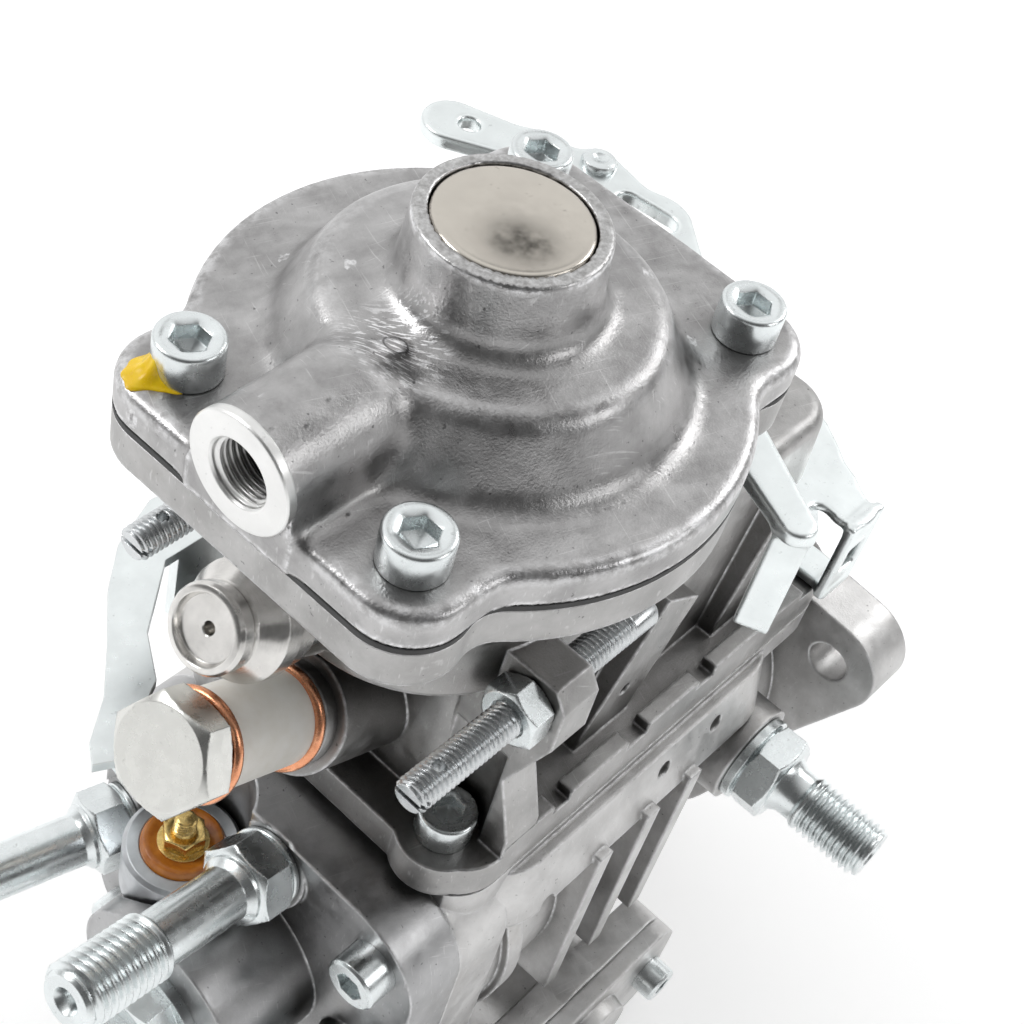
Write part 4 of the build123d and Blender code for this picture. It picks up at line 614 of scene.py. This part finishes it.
def build_plug():
    """Closing plug: a shallow crowned disc, its height falling with the square of the radius, rolled rim."""
    crown = [(0.4 - 0.5 * (r / 10.4) ** 2, r) for r in np.linspace(10.4, 0, 24)]
    rim = [(-5.4, 0), (-5.4, 11.4), (-1.2, 11.4), (-0.7, 11.32), (-0.35, 11.15), (-0.18, 10.95),
           (-0.11, 10.7)]
    shape = turned((CAP_X, 0, CAP_TOP + TOWER_HEIGHT), (0, 0, 1), plain(*rim, *crown), count=96)
    piece("closing_plug", [shape], tin, "pump_body", ["cap_plug"], 45)


def build_socket_screws():
    """Socket screws of the cap and of the cover."""
    for name, places, node in (("cap_socket_screws", CAP_SCREWS, "cap_screws"),
                               ("cover_socket_screws", COVER_SCREWS, "cover_screws")):
        piece(name, [socket_head(place) for place in places], zinc, "pump_body", [node])


def build_stop_screws():
    """Two threaded stop screws, each with a screwdriver slot and a hole for a wire, and their lock nuts."""
    length = STOP_SCREW_TIP - STOP_SCREW_REAR
    rows = plain((0, 0), (0, 2.6), (0.5, 3.0)) + thread(length * 0.1, length, 3.0, 1.0)
    rows += plain((length, 2.4), (length, 0))
    sides = [side * STOP_SCREW_Y for side in (-1, 1)]
    stops = [turned((STOP_SCREW_TIP, y, STOP_SCREW_Z), (-1, 0, 0), rows, 1.0, count=48) for y in sides]
    screws = piece("stop_screw_threads", stops, thread_steel, "pump_body", ["stop_screws"], 30)
    hole = plain((-5, 0), (-5, 1.0), (5, 1.0), (5, 0))
    for side in sides:
        slot = [(STOP_SCREW_REAR + x, side + y, STOP_SCREW_Z + z)
                for x in (-1, 1.8) for y in (-4, 4) for z in (-0.5, 0.5)]
        carve(screws, slot, BOX_FACES)
        carve(screws, *turned((STOP_SCREW_REAR + 6, side, STOP_SCREW_Z), (0, 0, 1), hole, count=24))
    nut = [(0, 0, 0, 0)] + hexagon(0, 5, 10.0) + plain((5, 3.25), (4.6, 3.02), (4.6, 0))
    nuts = [turned((LUG_FACE, y, STOP_SCREW_Z), (-1, 0, 0), nut, across=(0, 1, 0)) for y in sides]
    piece("stop_nuts", nuts, zinc, "pump_body", ["stop_screw_nuts"], 30)


# faces of a box whose corners are listed with z changing fastest and x slowest
BOX_FACES = [(0, 1, 3, 2), (4, 6, 7, 5), (0, 4, 5, 1), (2, 3, 7, 6), (0, 2, 6, 4), (1, 5, 7, 3)]


def carve(thing, points, faces):
    """Cuts a closed shape (points in millimetres, faces) from a piece and keeps the result as its mesh."""
    mesh = bpy.data.meshes.new("cutter")
    mesh.from_pydata((np.array(points) * MM).tolist(), [], faces)
    cutter = bpy.data.objects.new("cutter", mesh)
    bpy.context.scene.collection.objects.link(cutter)
    cut = thing.modifiers.new("cut", "BOOLEAN")
    cut.object, cut.operation, cut.solver = cutter, "DIFFERENCE", "EXACT"
    bpy.context.view_layer.update()
    result = bpy.data.meshes.new_from_object(thing.evaluated_get(bpy.context.evaluated_depsgraph_get()))
    thing.modifiers.clear()
    thing.data = result
    bpy.data.objects.remove(cutter)


def build_rear_fittings():
    """Return bolt with a sleeve between two washers on a boss, and the tamper cap above it."""
    out = np.array(FITTING)
    washer = plain((0, 0), (0, 5.2)) + rounded(0, WASHER_RADIUS, 0.8, True)
    washer += rounded(1.8, WASHER_RADIUS, 0.8) + plain((1.8, 5.2), (1.8, 0))
    washers = [turned(RETURN_FACE - depth * out, FITTING, washer) for depth in RETURN_WASHERS]
    head = [(-8.0, 0, 0, 0)] + plain((-8.0, 7.0), (-7.0, 7.0)) + hexagon(-7.0, -0.6, RETURN_HEXAGON)
    head += plain((-0.6, 0))
    sleeve = plain((-28.0, 0), (-28.0, SLEEVE_RADIUS)) + rounded(-8.8, SLEEVE_RADIUS, 0.4) + plain((-8.8, 0))
    nose = plain((-37.0, 0), (-37.0, 8.8)) + rounded(-29.0, 8.8, 0.5) + plain((-29.0, 0))
    piece("return_bolt_head", [turned(RETURN_FACE, FITTING, head, count=96)], nickel, "pump_body",
          ["return_bolt"], 30)
    piece("return_spacer", [turned(RETURN_FACE, FITTING, sleeve)], sleeve_plastic, "pump_body",
          ["return_sleeve"])
    piece("return_boss_nose", [turned(RETURN_FACE, FITTING, nose)], cover_skin, "pump_body")
    piece("sealing_washers", washers, copper, "pump_body", ["copper_washers"])

    tamper = plain((-17.0, 0), (-17, 3.4), (6.2, 3.4), (6.2, 8.0), (6.6, 8.4), (10.4, 8.4), (11.0, 9.1),
                   (11.3, 9.3), (14.5, 9.3), (14.9, 9.1), (15.4, 8.6), (17.6, 7.0), (18.1, 6.6), (18.7, 6.5),
                   (19.1, 6.6), (19.5, 6.85), (21.5, 6.9), (22.2, 6.5), (22.4, 6.0), (22.4, 5.5), (21.9, 5.2),
                   (21.2, 5.0), (21.1, 1.15), (20.9, 1.0), (17.2, 1.0), (17.2, 0))
    piece("tamper_cap_skin", [turned(TAMPER_FACE - 22.5 * out, FITTING, tamper, count=96)], turned_metal,
          "pump_body", ["tamper_cap"], 24)


def build_springs():
    """The two springs: each solid's own coil, its loose corners merged, as a piece riding on the pump body in
    place of the solid."""
    for node, joint, axis, anchor, travel in PRESSED_SPRINGS:
        mesh = frame["nodes"][node].data.copy()
        coil = bmesh.new()
        coil.from_mesh(mesh)
        bmesh.ops.remove_doubles(coil, verts=coil.verts, dist=0.001 * MM)
        coil.to_mesh(mesh)
        coil.free()
        thing = bpy.data.objects.new(node + "_coil", mesh)
        bpy.context.scene.collection.objects.link(thing)
        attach(thing, "pump_body")
        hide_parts(node)
        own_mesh(thing)


def build_outlets():
    """Four valve holders: collar, crowned hexagon, neck and thread with a coned mouth, splayed outwards."""
    rows = plain((-8, 0), (-8, 6), (1.4, 6), (1.5, 7.2), (1.7, 7.4), (2.4, 7.4), (2.6, 7.2))
    rows += hexagon(2.7, 9.8, 14)
    rows += plain((9.9, 6.2), (10.6, 6.1), (11.4, 5.3), (11.9, 5.0), (29, 5.0), (29.6, 5.4), (29.9, 5.95))
    rows += thread(30, 46.4, 6.0, 1.5)
    rows += plain((46.7, 4.9), (47, 4.6), (47, 2.6), (46.8, 2.4), (44.0, 1.2), (30, 1.2), (30, 0))
    holders = []
    for number in range(4):
        angle = math.radians(90 + OUTLET_TURN + 90 * number)
        outward = np.array((0, math.cos(angle), math.sin(angle)))
        place = np.array((OUTLET_X, 0, 0)) + OUTLET_RADIUS * outward
        direction = (-math.cos(OUTLET_SPLAY), *(math.sin(OUTLET_SPLAY) * outward[1:]))
        holders.append(turned(place, direction, rows, 1.5, tuple(outward), 60))
    piece("outlet_holders", holders, zinc, "pump_body", ["delivery_valve_holders"], 30)


def build_solenoid():
    """Terminal: insulator with a raised skirt, brass nut and threaded stud."""
    low = SOLENOID - (0, 0, 2)
    skirt = plain((0, 0), (0, 7.5), (2.2, 7.5), (2.6, 7.3)) + rounded(3.4, 7.0, 0.4)
    skirt += plain((3.3, 5.4), (3.0, 5.0), (3.0, 0))
    piece("terminal_insulator", [turned(low, (0, 0, 1), skirt)], amber, "pump_body", ["solenoid_insulator"])
    rows = plain((1.0, 0), (1.0, 4.6), (1.35, 4.6), (1.4, 3.6)) + hexagon(1.4, 4.6, 7.0)
    rows += plain((4.6, 2.1), (4.55, 2.0)) + thread(4.6, 8.2, 2.0, 0.7) + plain((8.35, 1.4), (8.4, 0))
    piece("terminal_stud", [turned(SOLENOID, (0, 0, 1), rows, 0.7, (1, 0.4, 0))], brass, "pump_body",
          ["solenoid_terminal"], 30)


def build_inlet():
    """Inlet union: collar, hexagon, neck and a thread with an open bore."""
    rows = plain((-14, 0), (-14, 6.0), (0, 6.0), (0, 9.3), (0.2, 9.5), (1.9, 9.5), (2, 9.3))
    rows += hexagon(2.1, 9, 17) + plain((9.1, 6.4), (11, 5.3), (14, 5.2), (14.8, 5.9))
    rows += thread(15, 30.4, 6.0, 1.5)
    rows += plain((30.8, 5.2), (31, 5.0), (31, 3.2), (30.4, 2.7), (-4, 2.6), (-4, 0))
    piece("inlet_union_skin", [turned(INLET, (0, -1, 0), rows, 1.5)], zinc, "pump_body", ["inlet_union"], 30)


def dab(center, ring, start, end, peak, spread, reach, climb, floor):
    """Paint dab round a screw head: at an angle it runs out by a bell curve of width spread about peak and
    lies a bell-shaped share of climb up the head, and its cross-section is a rounded lip."""
    angle = np.linspace(start, end, 64)[:, None]
    bell = np.exp(-((angle - peak) / spread) ** 2)
    ripple = 1 + 0.12 * np.sin(9 * angle) + 0.08 * np.sin(17 * angle + 1)
    out = np.linspace(0, 1, 14)[None, :]
    ends = np.clip(np.minimum(angle - start, end - angle) / 0.15, 0, 1) ** 0.5
    top = climb * bell * ripple * (1 - out) ** 3 + (0.25 + 0.35 * bell) * np.sqrt(1 - out ** 2) * ends
    radius = ring + (0.25 + reach * bell * ripple) * out * ends
    radius = np.concatenate([radius, radius[:, ::-1]], axis=1)
    height = np.concatenate([top, np.full_like(top, -floor)], axis=1)
    points = np.stack([center[0] + radius * np.cos(angle), center[1] + radius * np.sin(angle),
                       center[2] + height], axis=-1)
    rows, columns = height.shape
    i, j = np.meshgrid(np.arange(rows - 1), np.arange(columns), indexing="ij")
    here, right = i * columns + j, i * columns + (j + 1) % columns
    quads = np.stack([here, here + columns, right + columns, right], axis=-1).reshape(-1, 4).tolist()
    last = (rows - 1) * columns
    return points.reshape(-1, 3), quads + [list(range(columns)), [last + n for n in range(columns)][::-1]]


def build_paint():
    """Yellow check mark at the rear left cap screw."""
    start, end, peak = (math.radians(a) for a in (100, 222, 156))
    blob = dab(CAP_SCREWS[1], ring=4.9, start=start, end=end, peak=peak, spread=0.50, reach=3.9, climb=3.0,
               floor=0.2)
    piece("paint_mark", [blob], yellow_paint, "pump_body")


# ---------------------------------------------------------------- floor, light and camera
# where the dark flag hangs, the bright side and how the light falls off round from it, and the lamps as
# name, place in metres, width in metres and watts
FLAG = (0.6230, 0.3663, 0.6912)
BRIGHT_SIDE = (0.45, 0.62, 0.64)
BRIGHT_RANGE = (0.15, 0.95, 0.12, 1.05)
FLOOR_GLOW = 0.34
LAMPS = (("key", (-0.70, 0.75, 0.85), 0.40, 4.8),
         ("fill", (0.35, -0.95, 0.75), 0.5, 2.4),
         ("rim", (0.9, -0.25, 0.75), 0.45, 2.8))
LAMP_AIM = (-0.09, 0, 0.08)
# the camera's place in metres, its azimuth, elevation and roll in degrees, and its lens in millimetres
CAMERA_PLACE = (-0.266569, -0.104272, 0.306178)
CAMERA_TURNS = (-60.561, 46.612, 17.061)
CAMERA_LENS = 65.21


def studio():
    """Pale floor, surroundings that darken from a bright side round to the other, a pale band at the
    horizon, a small dark flag for the plug to reflect, and soft lamps."""
    size = 6.0
    low = CAD_BOX[0][2] - 0.001
    corners = [(-size, -size, low), (size, -size, low), (size, size, low), (-size, size, low)]
    mesh = bpy.data.meshes.new("floor")
    mesh.from_pydata(corners, [], [(0, 1, 2, 3)])
    floor = bpy.data.objects.new("floor", mesh)
    bpy.context.scene.collection.objects.link(floor)
    m = Nodes("pale floor")
    m.shader.inputs["Base Color"].default_value = (0.94, 0.94, 0.94, 1)
    m.shader.inputs["Roughness"].default_value = 0.8
    m.shader.inputs["Emission Color"].default_value = (1, 1, 1, 1)
    path = m.new("ShaderNodeLightPath")
    seen = m.math("MAXIMUM", path.outputs["Is Camera Ray"], path.outputs["Is Glossy Ray"])
    m.link(m.range(seen, 0, 1, 0.0, FLOOR_GLOW), m.shader.inputs["Emission Strength"])
    mesh.materials.append(m.material)

    world = bpy.data.worlds.new("studio")
    world.use_nodes = True
    tree = world.node_tree
    direction = tree.nodes.new("ShaderNodeTexCoord").outputs["Generated"]

    def toward(target, operation="DOT_PRODUCT"):
        """How far the direction of a ray points along a target, or its distance from it."""
        node = tree.nodes.new("ShaderNodeVectorMath")
        node.operation = operation
        node.inputs[1].default_value = target
        tree.links.new(direction, node.inputs[0])
        return node.outputs["Value"]

    def eased(value, low, high, out_low, out_high):
        """Value carried from low and high to out_low and out_high with a smooth start and end."""
        node = tree.nodes.new("ShaderNodeMapRange")
        node.interpolation_type = "SMOOTHSTEP"
        for key, number in zip(("From Min", "From Max", "To Min", "To Max"), (low, high, out_low, out_high)):
            node.inputs[key].default_value = number
        tree.links.new(value, node.inputs["Value"])
        return node.outputs[0]

    def combined(how, first, second):
        """One number from two outputs."""
        node = tree.nodes.new("ShaderNodeMath")
        node.operation = how
        tree.links.new(first, node.inputs[0])
        tree.links.new(second, node.inputs[1])
        return node.outputs[0]

    level = eased(toward(BRIGHT_SIDE), *BRIGHT_RANGE)
    level = combined("MULTIPLY", level, eased(toward(FLAG, "DISTANCE"), 0.045, 0.115, 0.05, 1.0))
    level = combined("MAXIMUM", level, eased(toward((0, 0, 1)), 0.05, 0.16, 1.0, 0.0))
    tree.links.new(level, tree.nodes["Background"].inputs["Color"])
    bpy.context.scene.world = world

    for name, place, width, power in LAMPS:
        lamp = bpy.data.lights.new(name, "AREA")
        lamp.size = width
        lamp.energy = power
        thing = bpy.data.objects.new(name, lamp)
        thing.location = place
        thing.rotation_euler = (Vector(LAMP_AIM) - Vector(place)).to_track_quat("-Z", "Y").to_euler()
        bpy.context.scene.collection.objects.link(thing)


def main_camera():
    """Camera that looks down on the cap from the rear, rolled about its own line of sight."""
    azimuth, elevation, roll = (math.radians(a) for a in CAMERA_TURNS)
    flat = math.cos(elevation)
    back = Vector((math.sin(azimuth) * flat, -math.cos(azimuth) * flat, math.sin(elevation)))
    right = Vector((0, 0, 1)).cross(back).normalized()
    up = back.cross(right)
    right_rolled = math.cos(roll) * right + math.sin(roll) * up
    up_rolled = -math.sin(roll) * right + math.cos(roll) * up
    data = bpy.data.cameras.new("camera")
    data.lens = CAMERA_LENS
    data.sensor_width = 36.0
    data.clip_start = 0.01
    camera = bpy.data.objects.new("camera", data)
    turn = Matrix((right_rolled, up_rolled, back)).transposed().to_4x4()
    camera.matrix_world = Matrix.Translation(CAMERA_PLACE) @ turn
    bpy.context.scene.collection.objects.link(camera)
    bpy.context.scene.camera = camera


build_cap()
build_plates()
build_plug()
build_socket_screws()
build_stop_screws()
build_rear_fittings()
build_springs()
build_outlets()
build_solenoid()
build_inlet()
build_paint()
studio()
main_camera()
bpy.context.scene.view_settings.view_transform = "Standard"
